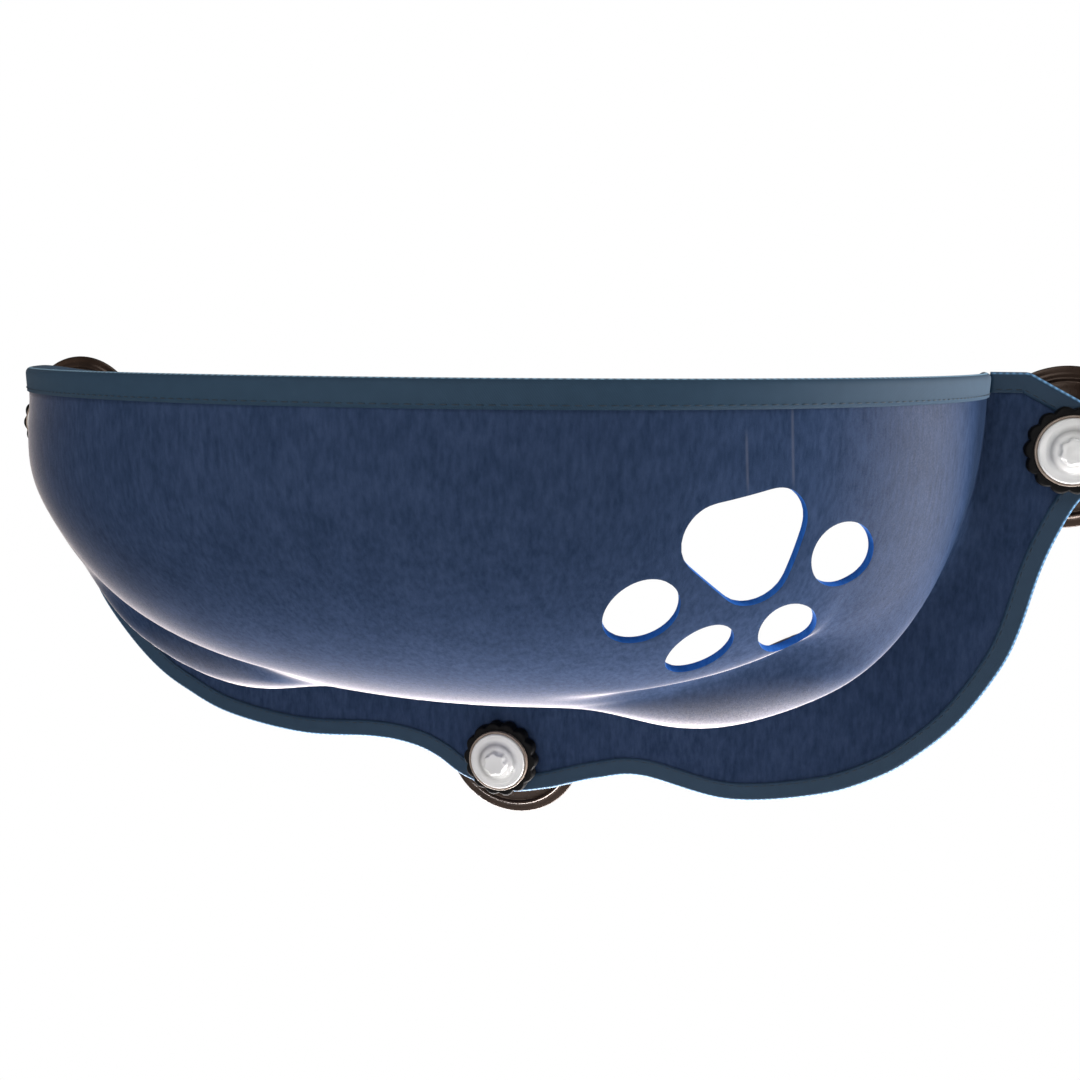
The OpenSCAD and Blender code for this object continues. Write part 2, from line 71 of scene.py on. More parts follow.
# %% Camera
FRAME_PX, FOCAL_PX, SENSOR_MM = 1080, 1188, 36
CAMERA_AT = (0.1939, -0.6370, 0.2139)
YAW, PITCH, ROLL = (math.radians(angle) for angle in (15.8, -8.06, 0.69))
NEAREST_SEEN = 10 * MM
cam_data = bpy.data.cameras.new("camera")
cam_data.sensor_width = SENSOR_MM
cam_data.lens = SENSOR_MM * FOCAL_PX / FRAME_PX
cam_data.clip_start = NEAREST_SEEN
camera = bpy.data.objects.new("camera", cam_data)
bpy.context.collection.objects.link(camera)
ahead = Vector((-math.sin(YAW) * math.cos(PITCH), math.cos(YAW) * math.cos(PITCH), math.sin(PITCH)))
level = Vector((math.cos(YAW), math.sin(YAW), 0))
right = level * math.cos(ROLL) + level.cross(ahead) * math.sin(ROLL)
camera.location = CAMERA_AT
camera.rotation_euler = Matrix((right, right.cross(ahead), -ahead)).transposed().to_euler()
bpy.context.scene.camera = camera
print("lens", round(cam_data.lens, 2), "mm")

# %% [markdown]
# ## The pod's shape
# The pod was pressed from one flat sheet of felt, so it is one smooth skin. From above its rim is half an
# ellipse. From the front its outline is squarer than an ellipse, with full lower corners. It could be
# sculpted from a sphere, but one formula keeps it the same as the solid model: a place on the skin has x
# across, a distance out from the back of the felt, and a drop below the hem.

# %% Main sizes, the same as the solid model's
POD_HALF, POD_OUT, BELLY = 243 * MM, 224 * MM, 158 * MM
CORNER_POWER, PLAN_POWER = 2.47, 2.1
RIM_Z = CUP_AT["right"].z + 36.5 * MM
HEM_Z = RIM_Z - 14 * MM
FELT_BACK, FELT_T = 17 * MM, 3 * MM
FELT_TOP = RIM_Z - 4.1 * MM
FRONT_Y = -(FELT_BACK + FELT_T)
RIM_SAG, LEFT_DIP, DIP_REACH = 5 * MM, 5.5 * MM, 100 * MM
print("rim at", round(RIM_Z / MM, 1), "mm, felt's front at", round(FRONT_Y / MM, 1), "mm")


def sag(out, x=0):
    """How far the rim hangs below its right end. On the left it also dips towards the glass."""
    back = np.clip(1 - out / DIP_REACH, 0, 1)
    return RIM_SAG * out / POD_OUT + np.where(x < 0, LEFT_DIP * back * back * (3 - 2 * back), 0)


def bell(v):
    return np.exp(-v * v)


# %% [markdown]
# ## Furrow and lip
# Where the sheet had to bend two ways at once, at each lower corner, the felt buckled into a soft furrow.
# Between the furrow and the flange it swells into a rolled lip. A sculpting brush could press them in, but
# soft curves laid along the corner can be measured against the photograph and changed by one number. They
# push the skin in or out along its own outline's normal.

# %% How far the skin stands in or out at the corners
FURROW_TURN = math.radians(35)
FURROW_DEPTH, FURROW_HALF_W, FURROW_OUT, FURROW_CLIMB = 6 * MM, 12 * MM, 106 * MM, 0.13
FURROW_UP, LIP_UP, DOWN_REACH = 42 * MM, 71 * MM, 101 * MM
LIP_SWELL, LIP_OUT, LIP_BACK_W, LIP_FRONT_W, LIP_SPREAD = 17 * MM, 80 * MM, 52 * MM, 24 * MM, 0.4
TOP_FADE = 6


def swell(turn, out):
    """The push outwards at an angle round the pod's outline, seen from the room, and a distance out."""
    down = (np.minimum(turn, np.pi - turn) - FURROW_TURN) * POD_HALF
    up = np.maximum(-down, 0)
    fade = np.exp(-(np.maximum(down, 0) / DOWN_REACH) ** 4) * np.minimum(1, np.sin(turn) * TOP_FADE)
    lip_w = np.where(out > LIP_OUT, LIP_FRONT_W + LIP_SPREAD * up, LIP_BACK_W)
    roll = np.maximum(0, 1 - ((out - LIP_OUT) / lip_w) ** 2) ** 1.5
    off_line = (out - FURROW_OUT - FURROW_CLIMB * down) / FURROW_HALF_W
    furrow = FURROW_DEPTH * bell(up / FURROW_UP) * bell(off_line)
    return fade * (LIP_SWELL * bell(up / LIP_UP) * roll - furrow)


# %% A place on the skin
LEFT_FULL, FULL_DROP, FULL_HALF_H = 4.2 * MM, 38 * MM, 26 * MM
FULL_FROM_GLASS, FULL_FROM_HEM, DIP_DOWN = 30 * MM, 12 * MM, 70 * MM
RIM_STEADY = 3


def on_pod(x, out, drop):
    """Points of the skin, pushed by the furrow and the lip, and a little fuller on the left."""
    turn = np.arctan2(drop, x)
    nx = np.sign(x) * (np.abs(x) / POD_HALF) ** (CORNER_POWER - 1) / POD_HALF
    nz = (drop / BELLY) ** (CORNER_POWER - 1) / BELLY
    size = np.hypot(nx, nz) + TINY
    open_share = np.maximum(0, 1 - (out / POD_OUT) ** PLAN_POWER) ** (1 / PLAN_POWER)
    full = LEFT_FULL * bell((drop - FULL_DROP) / FULL_HALF_H)
    full = full * np.minimum(1, out / FULL_FROM_GLASS) * np.minimum(1, drop / FULL_FROM_HEM)
    push = swell(turn, out) * np.minimum(1, open_share * RIM_STEADY) + np.where(x < 0, full, 0)
    hang = sag(out) + (sag(out, x) - sag(out)) * np.clip(1 - drop / DIP_DOWN, 0, 1)
    return np.stack([x + nx / size * push, -(FELT_BACK + out), HEM_Z - hang - drop - nz / size * push], -1)


# %% [markdown]
# ## Lines down the wall
# A moulded skin has no panels, so its mesh shouldn't show any. The sheet gets a grid whose columns run from
# the rim down the wall to the flange, each at its own x. They stand closer where the paw is cut, so that its
# edges come out round without a fine grid everywhere. Each column's section of the pod is worked out from
# the formula and then measured along its length.

# %% Columns across the pod
COLUMNS = 250
HEM_ROWS, WALL_ROWS, CREASE_ROWS, FLANGE_ROWS = 4, 100, 5, 16
PAW_FROM, PAW_TO, PAW_SOFT, PAW_DENSER = 80 * MM, 200 * MM, 15 * MM, 0.9
FINE = 4000


def rim_curve(phi):
    """x and distance out along the rim, from its right end at 0 to its left end at pi."""
    return (POD_HALF * np.sign(np.cos(phi)) * np.abs(np.cos(phi)) ** (2 / PLAN_POWER),
            POD_OUT * np.abs(np.sin(phi)) ** (2 / PLAN_POWER))


def column_places():
    """x of each column, evenly spread along the rim and the foot taken together."""
    x, out = rim_curve(np.linspace(0, np.pi, 2 * FINE + 1))
    foot_drop = BELLY * np.maximum(0, 1 - np.abs(x / POD_HALF) ** CORNER_POWER) ** (1 / CORNER_POWER)
    rim, foot = np.hypot(np.diff(x), np.diff(out)), np.hypot(np.diff(x), np.diff(foot_drop))
    mid = (x[1:] + x[:-1]) / 2
    at_paw = np.clip((mid - PAW_FROM) / PAW_SOFT, 0, 1) * np.clip((PAW_TO - mid) / PAW_SOFT, 0, 1)
    steps = (rim / rim.sum() + foot / foot.sum()) * (1 + PAW_DENSER * at_paw)
    count = np.concatenate([[0], np.cumsum(steps)])
    start = np.interp(FELT_T, out[:FINE + 1], count[:FINE + 1])
    end = np.interp(-FELT_T, -out[FINE:], count[FINE:])
    return np.interp(np.linspace(start, end, COLUMNS + 1), count, x)


xs = column_places()
print(len(xs), "columns, from", round(xs[0] / MM, 1), "to", round(xs[-1] / MM, 1), "mm")

# %% The wall's section at one column
UPPER_SHARE, SECTION_STEPS = 0.75, 240


def wall_section(x):
    """Distance out, drop and length along the wall above one x, from the rim to the flange."""
    share = (abs(x) / POD_HALF) ** CORNER_POWER

    def tall(out):
        open_share = (1 - (out / POD_OUT) ** PLAN_POWER) ** (CORNER_POWER / PLAN_POWER)
        return BELLY * np.maximum(0, open_share - share) ** (1 / CORNER_POWER)

    upper = np.linspace(0, UPPER_SHARE * tall(FELT_T), SECTION_STEPS)
    reach = 1 - (share + (upper / BELLY) ** CORNER_POWER) ** (PLAN_POWER / CORNER_POWER)
    upper_out = POD_OUT * np.maximum(0, reach) ** (1 / PLAN_POWER)
    lower_out = np.linspace(upper_out[-1], FELT_T, SECTION_STEPS)[1:]
    out = np.maximum(np.concatenate([upper_out, lower_out]), FELT_T)
    drop = np.concatenate([upper, tall(lower_out)])
    return out, drop, np.concatenate([[0], np.cumsum(np.hypot(np.diff(out), np.diff(drop)))])


print("middle of the wall", round(wall_section(0)[2][-1] / MM), "mm long")

# %% [markdown]
# ## The flange's outline
# The flange is flat. Its edge runs from the rim round an ear at each upper cup, down the flank, along a lobe
# and up a shallow valley to the tail under the lower cup. It could be drawn as a Bezier curve by hand; a
# smooth curve through a few knots does the same from named sizes. Felt settles as it likes, and here the
# left side hangs a little higher than the right, so each knot has a share of that lift.

# %% Outline of the flange, from the right end of the rim round to the left end
STUD_X, CUP_RISE = CUP_AT["right"].x, CUP_AT["right"].z
EAR_R, EAR_FLAT, TAIL_REACH = 22 * MM, 20 * MM, 20.5 * MM
LOBE_X, LOBE_DROP, VALLEY_X, VALLEY_DROP, LEFT_LIFT = 126 * MM, 11.5 * MM, 79 * MM, 3.5 * MM, 13 * MM
EDGE_OFF_RIM, EDGE_UNDER_RIM = 1.6 * MM, 1 * MM
SPAN_STEPS = 10
VALLEY_LIFT_SHARE = 0.53
FLANK_SHARES = ((1.02, 0.866, 0), (0.989, 0.768, 0), (0.965, 0.661, 0), (0.939, 0.498, 0),
                (0.911, 0.386, 0.23), (0.851, 0.236, 0.65), (0.787, 0.131, 0.77),
                (0.72, 0.052, 0.95), (0.615, -0.02, 0.97))
TAIL_SHARES = ((0.7, 0.346, 0.63), (0.5, 0.575, 0.55), (0.3, 0.815, 0.19))


def through(knots, steps):
    """A smooth curve through the knots, as many points as steps in each span."""
    pts = []
    for i in range(len(knots) - 1):
        a = knots[i] * 2 - knots[1] if i == 0 else knots[i - 1]
        b, c = knots[i], knots[i + 1]
        d = knots[i + 1] * 2 - knots[i] if i == len(knots) - 2 else knots[i + 2]
        for t in np.arange(steps) / steps:
            square, cube = a * 2 - b * 5 + c * 4 - d, b * 3 - a - c * 3 + d
            pts.append((b * 2 + (c - a) * t + square * t**2 + cube * t**3) / 2)
    return np.array(pts + [knots[-1]])


ear = [(STUD_X + EAR_R * math.cos(a), CUP_RISE + EAR_R * math.sin(a), 0)
       for a in (math.radians(turn) for turn in range(76, -45, -30))]
ear_x, ear_z = STUD_X - EAR_FLAT, RIM_Z - EDGE_UNDER_RIM
half = [(ear_x, ear_z, -LEFT_DIP), ((ear_x + ear[0][0]) / 2, (ear_z + ear[0][1]) / 2, -LEFT_DIP / 2)] + ear
half += [(s * STUD_X, t * CUP_RISE, lift * LEFT_LIFT) for s, t, lift in FLANK_SHARES]
half += [(LOBE_X, -LOBE_DROP, LEFT_LIFT), (VALLEY_X, -VALLEY_DROP, VALLEY_LIFT_SHARE * LEFT_LIFT)]
half += [(s * VALLEY_X, -t * TAIL_REACH, lift * LEFT_LIFT) for s, t, lift in TAIL_SHARES]
half = np.array(half + [(0, -TAIL_REACH, 0)])
left_half = np.stack([-half[:, 0], half[:, 1] + half[:, 2]], 1)[-2::-1]
edge_start = np.array([POD_HALF + EDGE_OFF_RIM, RIM_Z - EDGE_UNDER_RIM])
edge_end = edge_start * (-1, 1) - (0, LEFT_DIP)
curve = through(np.concatenate([half[:, :2], left_half]), SPAN_STEPS)
outline = np.concatenate([[edge_start], curve, [edge_end]])


def lengths(pts):
    return np.concatenate([[0], np.cumsum(np.linalg.norm(np.diff(pts, axis=0), axis=1))])


def nearest(pts, to):
    return int(np.argmin(np.linalg.norm(pts - np.array(to), axis=1)))


def sampled(pts, at, spots):
    """Places at the given lengths along a line of points."""
    return np.stack([np.interp(spots, at, pts[:, k]) for k in range(pts.shape[1])], 1)


print("outline", round(lengths(outline)[-1] / MM), "mm long")

# %% [markdown]
# ## Wall, crease and flange as two grids
# The real pod turns into its flange in one soft bend, tight at the rim and wide below, as the press left it.
# One grid could be pulled over both, but its squares would be torn long at the corners. So there are two,
# each from bmesh's create_grid with its vertices moved to the worked-out places, and they meet halfway
# through the bend. The flange's columns fan out to matching places on the outline.

# %% Places of the wall's vertices, and how wide the bend is at each column
CREASE_LEAST, CREASE_MORE, CREASE_SIDE = 1.2 * MM, 13.5 * MM, 9 * MM
CREASE_GROWS, SIDE_TURN, SIDE_SPREAD, CREASE_SHARE = 3.2, 0.3, 0.3, 0.45
DENSE_AT_SHARE, DENSE_SPREAD_SHARE, ROWS_DENSER = 0.24, 0.2, 0.7


def crease_reach(x, drop):
    """How far the bend between wall and flange reaches into each of them."""
    turn = np.arctan2(drop, abs(x))
    s = np.minimum(1, np.sin(turn) * CREASE_GROWS)
    wide = CREASE_MORE + CREASE_SIDE * bell((turn - SIDE_TURN) / SIDE_SPREAD)
    return CREASE_LEAST + wide * s * s * (3 - 2 * s)


dense = bell((np.linspace(0, 1, WALL_ROWS) - DENSE_AT_SHARE) / DENSE_SPREAD_SHARE)
row_share = np.concatenate([[0], np.cumsum(1 / (1 + ROWS_DENSER * dense))])
row_share /= row_share[-1]
hem_levels = np.linspace(FELT_TOP, HEM_Z, HEM_ROWS + 1)[:-1]
wall, corner, bend = [], [], []
for x in xs:
    out, drop, length = wall_section(x)
    reach = min(crease_reach(x, drop[-1]), CREASE_SHARE * length[-1])
    at = row_share * (length[-1] - reach)
    hem = [(x, -(FELT_BACK + out[0]), z) for z in hem_levels - sag(out[0], x)]
    skin = on_pod(np.full_like(at, x), np.interp(at, length, out), np.interp(at, length, drop))
    wall.append(np.concatenate([hem, skin]))
    corner.append(on_pod(np.array([x]), np.array([FELT_T]), drop[-1:])[0])
    bend.append(reach)
wall, corner, bend = np.array(wall), np.array(corner), np.array(bend)
print("wall", wall.shape, "bend from", round(bend.min() / MM, 1), "to", round(bend.max() / MM, 1), "mm")

# %% Places of the flange's vertices. Each pair is a place on the pod's foot and the one on the edge beside it
FAN_PAIRS_MM = (((243, 175), (303.5, 181)), ((238, 132), (278.5, 137)), ((205, 80), (262, 56)),
                ((160, 56), (190, 4)), ((124, 48), (124, -11)), ((78, 45), (78, -4)))
fan_pairs = [((POD_HALF, HEM_Z), (ear_x, RIM_Z))]
fan_pairs += [tuple((x * MM, z * MM) for x, z in pair) for pair in FAN_PAIRS_MM]
hem_end = [np.array([xs[0], FRONT_Y, z]) for z in hem_levels]
left_hem_end = [p * (-1, 1, 1) - (0, 0, LEFT_DIP) for p in hem_end[::-1]]
inner = np.array(hem_end + list(corner) + left_hem_end)
inner_bend = np.concatenate([[0] * HEM_ROWS, bend, [0] * HEM_ROWS])
inner_at, outer_at = lengths(inner[:, (0, 2)]), lengths(outline)
inner_mid, outer_mid = len(inner) // 2, len(outline) // 2


def matched(side, on_foot, on_edge):
    """How far along the inner and the outer edge a pair lies, on the right (1) or the left (-1)."""
    inner_half = slice(0, inner_mid) if side > 0 else slice(inner_mid, None)
    outer_half = slice(0, outer_mid) if side > 0 else slice(outer_mid, None)
    i = nearest(inner[inner_half][:, (0, 2)], (side * on_foot[0], on_foot[1]))
    j = nearest(outline[outer_half], (side * on_edge[0], on_edge[1]))
    return inner_at[inner_half][i], outer_at[outer_half][j]


keys = [(0, 0)] + [matched(1, *pair) for pair in fan_pairs] + [(inner_at[-1] / 2, outer_at[outer_mid])]
keys += [matched(-1, *pair) for pair in fan_pairs[::-1]] + [(inner_at[-1], outer_at[-1])]
outer = np.insert(sampled(outline, outer_at, np.interp(inner_at, *zip(*keys))), 1, FRONT_Y, axis=1)
print("flange's inner edge", inner.shape)

# %% Build the two grids and weld them
WELD = 0.02 * MM


def laid_grid(bm, places):
    """A grid from bmesh, moved to the given rows and columns of places."""
    rows, cols = places.shape[:2]
    for v in bmesh.ops.create_grid(bm, x_segments=cols - 1, y_segments=rows - 1, size=1)["verts"]:
        i, j = round((v.co.x + 1) / 2 * (cols - 1)), round((v.co.y + 1) / 2 * (rows - 1))
        v.co = places[j][i]


def curve_through(a, turn_at, b, t):
    return a * (1 - t) ** 2 + turn_at * 2 * t * (1 - t) + b * t**2


to_edge = (outer - inner) / np.maximum(np.linalg.norm(outer - inner, axis=1), TINY)[:, None]
flange_start = inner + to_edge * inner_bend[:, None]
wall_end = np.concatenate([inner[:HEM_ROWS], wall[:, -1], inner[-HEM_ROWS:]])
crease_shares = np.linspace(0, 1, 2 * CREASE_ROWS + 1)
crease = np.array([curve_through(wall_end, inner, flange_start, t) for t in crease_shares])
fanned = [flange_start + (outer - flange_start) * t for t in np.linspace(0, 1, FLANGE_ROWS + 1)[1:]]
felt = bmesh.new()
laid_grid(felt, np.concatenate([wall.transpose(1, 0, 2), crease[1:CREASE_ROWS + 1, HEM_ROWS:-HEM_ROWS]]))
laid_grid(felt, np.concatenate([crease[CREASE_ROWS:], fanned]))
bmesh.ops.remove_doubles(felt, verts=felt.verts, dist=WELD)
print("felt sheet:", len(felt.verts), "vertices,", len(felt.faces), "faces")

# %% [markdown]
# ## Cutting the paw and the eyelet holes
# The paw is die-cut along one direction, so each hole is a flat outline in the paw's own plane. A Boolean
# would cut it too, but leaves slivers that show in the shading. Here, where a grid edge crosses an outline,
# its nearer end is moved onto it. Squares left with a corner on each side are split along the outline, and
# everything inside is deleted. That leaves a clean round edge.

# %% How far a place lies from an outline
def outline_gap(points, ring):
    """Distance from each flat point to a closed outline, negative inside."""
    a, b = ring, np.roll(ring, -1, axis=0)
    ab = b - a
    t = np.clip(((points[:, None] - a) * ab).sum(2) / (ab**2).sum(1), 0, 1)
    gap = np.linalg.norm(points[:, None] - (a + t[..., None] * ab), axis=2).min(1)
    y, x = points[:, 1, None], points[:, 0, None]
    rise = np.where(ab[:, 1] == 0, TINY, ab[:, 1])
    crosses = ((a[:, 1] > y) != (b[:, 1] > y)) & (x < ab[:, 0] * (y - a[:, 1]) / rise + a[:, 0])
    return np.where(crosses.sum(1) % 2 == 1, -gap, gap)


# %% Cut an outline out of the sheet
CUT_MARGIN = 8 * MM


def cut_out(bm, ring, origin, across, upward, reach):
    """Deletes the sheet inside an outline in the plane of two directions. Returns how many vertices were
    moved onto its edge.
    """
    origin, across, upward = (np.array(v, float) for v in (origin, across, upward))
    bm.verts.ensure_lookup_table()
    co = np.array([v.co for v in bm.verts]) - origin
    flat = np.stack([co @ across, co @ upward], 1)
    beside = np.abs(flat - ring.mean(0)).max(1) < np.abs(ring).max() + CUT_MARGIN
    near = np.flatnonzero(beside & (np.abs(co @ np.cross(across, upward)) < reach))
    gap = dict(zip(near.tolist(), outline_gap(flat[near], ring)))
    moves = {}
    for e in {e for i in near for e in bm.verts[i].link_edges}:
        i, j = (v.index for v in e.verts)
        if i in gap and j in gap and gap[i] * gap[j] < 0:
            t = gap[i] / (gap[i] - gap[j])
            k, other, t = (i, j, t) if t < 0.5 else (j, i, 1 - t)
            if k not in moves or t < moves[k][0]:
                moves[k] = (t, bm.verts[k].co.lerp(bm.verts[other].co, t))
    for k, (t, place) in moves.items():
        bm.verts[k].co = place
        gap[k] = 0
    for f in {f for k in moves for f in bm.verts[k].link_faces if len(f.verts) == 4}:
        g = [gap.get(v.index, 1) for v in f.verts]
        split = next((a for a in (0, 1) if g[a] == 0 == g[a + 2]), None)
        if min(g) < 0 < max(g) and split is not None:
            bmesh.ops.connect_verts(bm, verts=[f.verts[split], f.verts[split + 2]])
    bmesh.ops.delete(bm, geom=[bm.verts[k] for k in gap if gap[k] < 0], context="VERTS")
    return len(moves)


# %% The paw's pad and toes, and the eyelet holes
def oval(at, size, lean, count=48):
    """An oval outline, with its place and sizes in mm. The lean turns its first size from level."""
    a = np.arange(count) * 2 * np.pi / count
    c, s = math.cos(math.radians(lean)), math.sin(math.radians(lean))
    p = np.stack([size[0] / 2 * np.cos(a), size[1] / 2 * np.sin(a)], 1)
    return (p @ np.array([[c, s], [-s, c]]) + at) * MM


def arc(cx, cy, r, first, last, count=5):
    """Points round a circle, from one angle to another in degrees."""
    return [(cx + r * math.cos(a), cy + r * math.sin(a)) for a in np.radians(np.linspace(first, last, count))]


PAW_AT = (147.1 * MM, -180.6 * MM, 127.9 * MM)
PAW_ACROSS, PAW_UP = (0.8123, 0.5833, 0), (0.2921, -0.4068, 0.8656)
PAD_R, PAD_CORNERS = 14.5, ((5.3, 31.0, -9, 102), (-17.4, 26.0, 102, 231), (2.2, 10.3, 231, 351))
PAW_HOLES = {
    "pad": np.concatenate([arc(x, z, PAD_R, first, last, 9) for x, z, first, last in PAD_CORNERS]) * MM,
    "toe_a": oval((-39.8, -8.1), (35.3, 28.4), 81),
    "toe_b": oval((-8.5, -31.3), (34.7, 25.4), 80),
    "toe_c": oval((29.1, -22.8), (38.5, 25.7), 129),
    "toe_d": oval((42.1, 14.3), (35.7, 27.2), 145),
}
EYELET_HOLE = oval((0, 0), (12, 12), 0)
PAW_REACH, EYELET_REACH = 40 * MM, 5 * MM
for name, ring in PAW_HOLES.items():
    print(name, cut_out(felt, ring, PAW_AT, PAW_ACROSS, PAW_UP, PAW_REACH), "vertices on its edge")
for side in SIDES:
    hole_at = CUP_AT[side] + Vector((0, FRONT_Y, 0))
    print(side, "eyelet hole", cut_out(felt, EYELET_HOLE, hole_at, (1, 0, 0), (0, 0, 1), EYELET_REACH))

# %% [markdown]
# ## Loose felt
# Pressed felt is never quite even. A displace modifier could add that, but it would also move the flange and
# the hem, which lie flat under their tapes. So a slow noise moves only the free wall, and fades out towards
# the flange, the middle line and the hem.

# %% A slow swell all over the wall, and the sheet's face turned outwards
SWELL_GRAIN, SWELL_SIDE, SWELL_DOWN = 75 * MM, 0.9 * MM, 0.7 * MM
STILL_BY_FLANGE, FLANGE_SOFT, MIDDLE_SOFT, HEM_SOFT = 8 * MM, 40 * MM, 50 * MM, 30 * MM
for v in felt.verts:
    wall_share = min(1, max(0, (-v.co.y - FELT_BACK - STILL_BY_FLANGE) / FLANGE_SOFT))
    aside_share, low_share = min(1, abs(v.co.x) / MIDDLE_SOFT), min(1, max(0, (HEM_Z - v.co.z) / HEM_SOFT))
    p = v.co / SWELL_GRAIN
    v.co.y += noise.noise(p) * SWELL_SIDE * wall_share
    v.co.x += noise.noise(p + Vector((9, 4, 2))) * SWELL_SIDE * wall_share * aside_share
    v.co.z += noise.noise(p + Vector((3, 8, 5))) * SWELL_DOWN * wall_share * low_share
bmesh.ops.recalc_face_normals(felt, faces=felt.faces)
front = min(felt.faces, key=lambda f: f.calc_center_median().y)
if front.normal.y > 0:
    bmesh.ops.reverse_faces(felt, faces=felt.faces)
print("front of the pod at", round(front.calc_center_median().y / MM, 1), "mm")


def finish_mesh(bm, name, *mats):
    for f in bm.faces:
        f.smooth = True
    mesh = bpy.data.meshes.new(name)
    bm.to_mesh(mesh)
    bm.free()
    piece = bpy.data.objects.new(name, mesh)
    bpy.context.collection.objects.link(piece)
    for mat in mats:
        mesh.materials.append(mat)
    print(name, len(mesh.polygons), "faces")
    return piece


# %% [markdown]
# ## Materials
# Every finish is built from nodes, so it needs no picture and can be changed by a number. Most of them are a
# few noises mixed and read between two values, so those steps get short helpers. What more than one material
# uses, the felt's heather and the tape's weave, is a node group with its own inputs and outputs.

# %% Helpers for a material and for single nodes
def new_material(name, colour=(0.5, 0.5, 0.5), rough=0.5, **constants):
    mat = bpy.data.materials.new(name)
    mat.use_nodes = True
    shader = mat.node_tree.nodes["Principled BSDF"]
    shader.inputs["Base Color"].default_value = (*colour, 1)
    shader.inputs["Roughness"].default_value = rough
    for socket, value in constants.items():
        shader.inputs[socket.replace("_", " ")].default_value = value
    return mat, mat.node_tree, shader


def add(tree, kind, settings=None, **values):
    node = tree.nodes.new("ShaderNode" + kind)
    for key, value in (settings or {}).items():
        setattr(node, key, value)
    for key, value in values.items():
        node.inputs[key.replace("_", " ")].default_value = value
    return node


def feed(tree, socket, value):
    """Sets a socket from another node's output, or from a plain number or colour."""
    if isinstance(value, bpy.types.NodeSocket):
        tree.links.new(value, socket)
    else:
        socket.default_value = value


def calc(tree, operation, *values, clamp=False):
    node = add(tree, "Math", {"operation": operation, "use_clamp": clamp})
    for socket, value in zip(node.inputs, values):
        feed(tree, socket, value)
    return node.outputs[0]


def product(tree, first, *others):
    for value in others:
        first = calc(tree, "MULTIPLY", first, value)
    return first


def weighted(tree, *parts):
    """The sum of a few values, each times its weight."""
    total = 0.0
    for value, weight in parts:
        total = calc(tree, "MULTIPLY_ADD", value, weight, total)
    return total


def ranged(tree, value, start, end, low=0.0, top=1.0, way="LINEAR"):
    """low where the value is at start, top where it is at end."""
    node = add(tree, "MapRange", {"interpolation_type": way},
               From_Min=start, From_Max=end, To_Min=low, To_Max=top)
    tree.links.new(value, node.inputs["Value"])
    return node.outputs[0]


def mixed(tree, share, first, second):
    """A colour between two colours."""
    node = add(tree, "Mix", {"data_type": "RGBA"})
    colours = [socket for socket in node.inputs if socket.type == "RGBA"]
    for socket, value in zip((node.inputs[0], *colours), (share, first, second)):
        feed(tree, socket, value)
    return next(socket for socket in node.outputs if socket.type == "RGBA")


def texture(tree, kind, places, settings=None, **values):
    node = add(tree, "Tex" + kind, settings, **values)
    tree.links.new(places, node.inputs["Vector"])
    return node.outputs["Fac"]


def object_places(tree):
    return add(tree, "TexCoord").outputs["Object"]


def axes(tree, places):
    """The X, Y and Z of places."""
    node = add(tree, "SeparateXYZ")
    tree.links.new(places, node.inputs[0])
    return node.outputs


def raise_grain(tree, shader, height, strength, distance):
    relief = add(tree, "Bump", Strength=strength, Distance=distance)
    tree.links.new(height, relief.inputs["Height"])
    tree.links.new(relief.outputs[0], shader.inputs["Normal"])


# %% Helpers for a node group
def new_group(name, inputs, outputs):
    """A shared effect. Inputs and outputs are names with Color or Float beside them."""
    group = bpy.data.node_groups.new(name, "ShaderNodeTree")
    for way, sockets in (("INPUT", inputs), ("OUTPUT", outputs)):
        for label, kind in sockets.items():
            group.interface.new_socket(label, in_out=way, socket_type="NodeSocket" + kind)
    return group, group.nodes.new("NodeGroupInput").outputs, group.nodes.new("NodeGroupOutput").inputs


def place_group(tree, group, **values):
    node = tree.nodes.new("ShaderNodeGroup")
    node.node_tree = group
    for key, value in values.items():
        feed(tree, node.inputs[key], value)
    return node.outputs


# %% [markdown]
# ## Felt
# The felt is pressed from fibres of a few blues, so close up it is heathered, with soft upright streaks.
# Loose fibres show as a pale sheen where the eye skims along the skin. Here it is painted into the colour:
# pale where the Layer Weight's facing value, sharpened by a power, is high, and more where the lamps at the
# right and below fall, on the right wall and on the lip, and most of all underneath. Thousands of hairs would
# give a real fuzz, but slowly.
# Three noises give the heathered blues. Shade is painted too: a darker blue in the bend by the flange and in
# the furrow, and no sheen near the glass or over the furrow.

# %% Heather: the mix of blues
heather, given, made = new_group(
    "heather", {"Dark": "Color", "Light": "Color", "Fuzz": "Color", "Skim": "Float", "Outside": "Float"},
    {"Color": "Color", "Height": "Float"})
place = object_places(heather)
upright = add(heather, "Mapping", Scale=(1, 1, 0.3))
heather.links.new(place, upright.inputs["Vector"])
streak = texture(heather, "Noise", upright.outputs[0], Scale=480.0, Detail=3.0, Roughness=0.6)
cloud = texture(heather, "Noise", place, Scale=60.0, Detail=4.0, Roughness=0.65)
fibre = texture(heather, "Noise", place, Scale=1500.0, Detail=2.0, Roughness=0.7, Distortion=1.5)
blend = ranged(heather, weighted(heather, (cloud, 0.3), (streak, 0.55), (fibre, 0.15)), 0.36, 0.64)
blues = mixed(heather, blend, given["Dark"], given["Light"])
heather.links.new(calc(heather, "ADD", fibre, streak), made["Height"])
print("heather has", len(heather.nodes), "nodes")

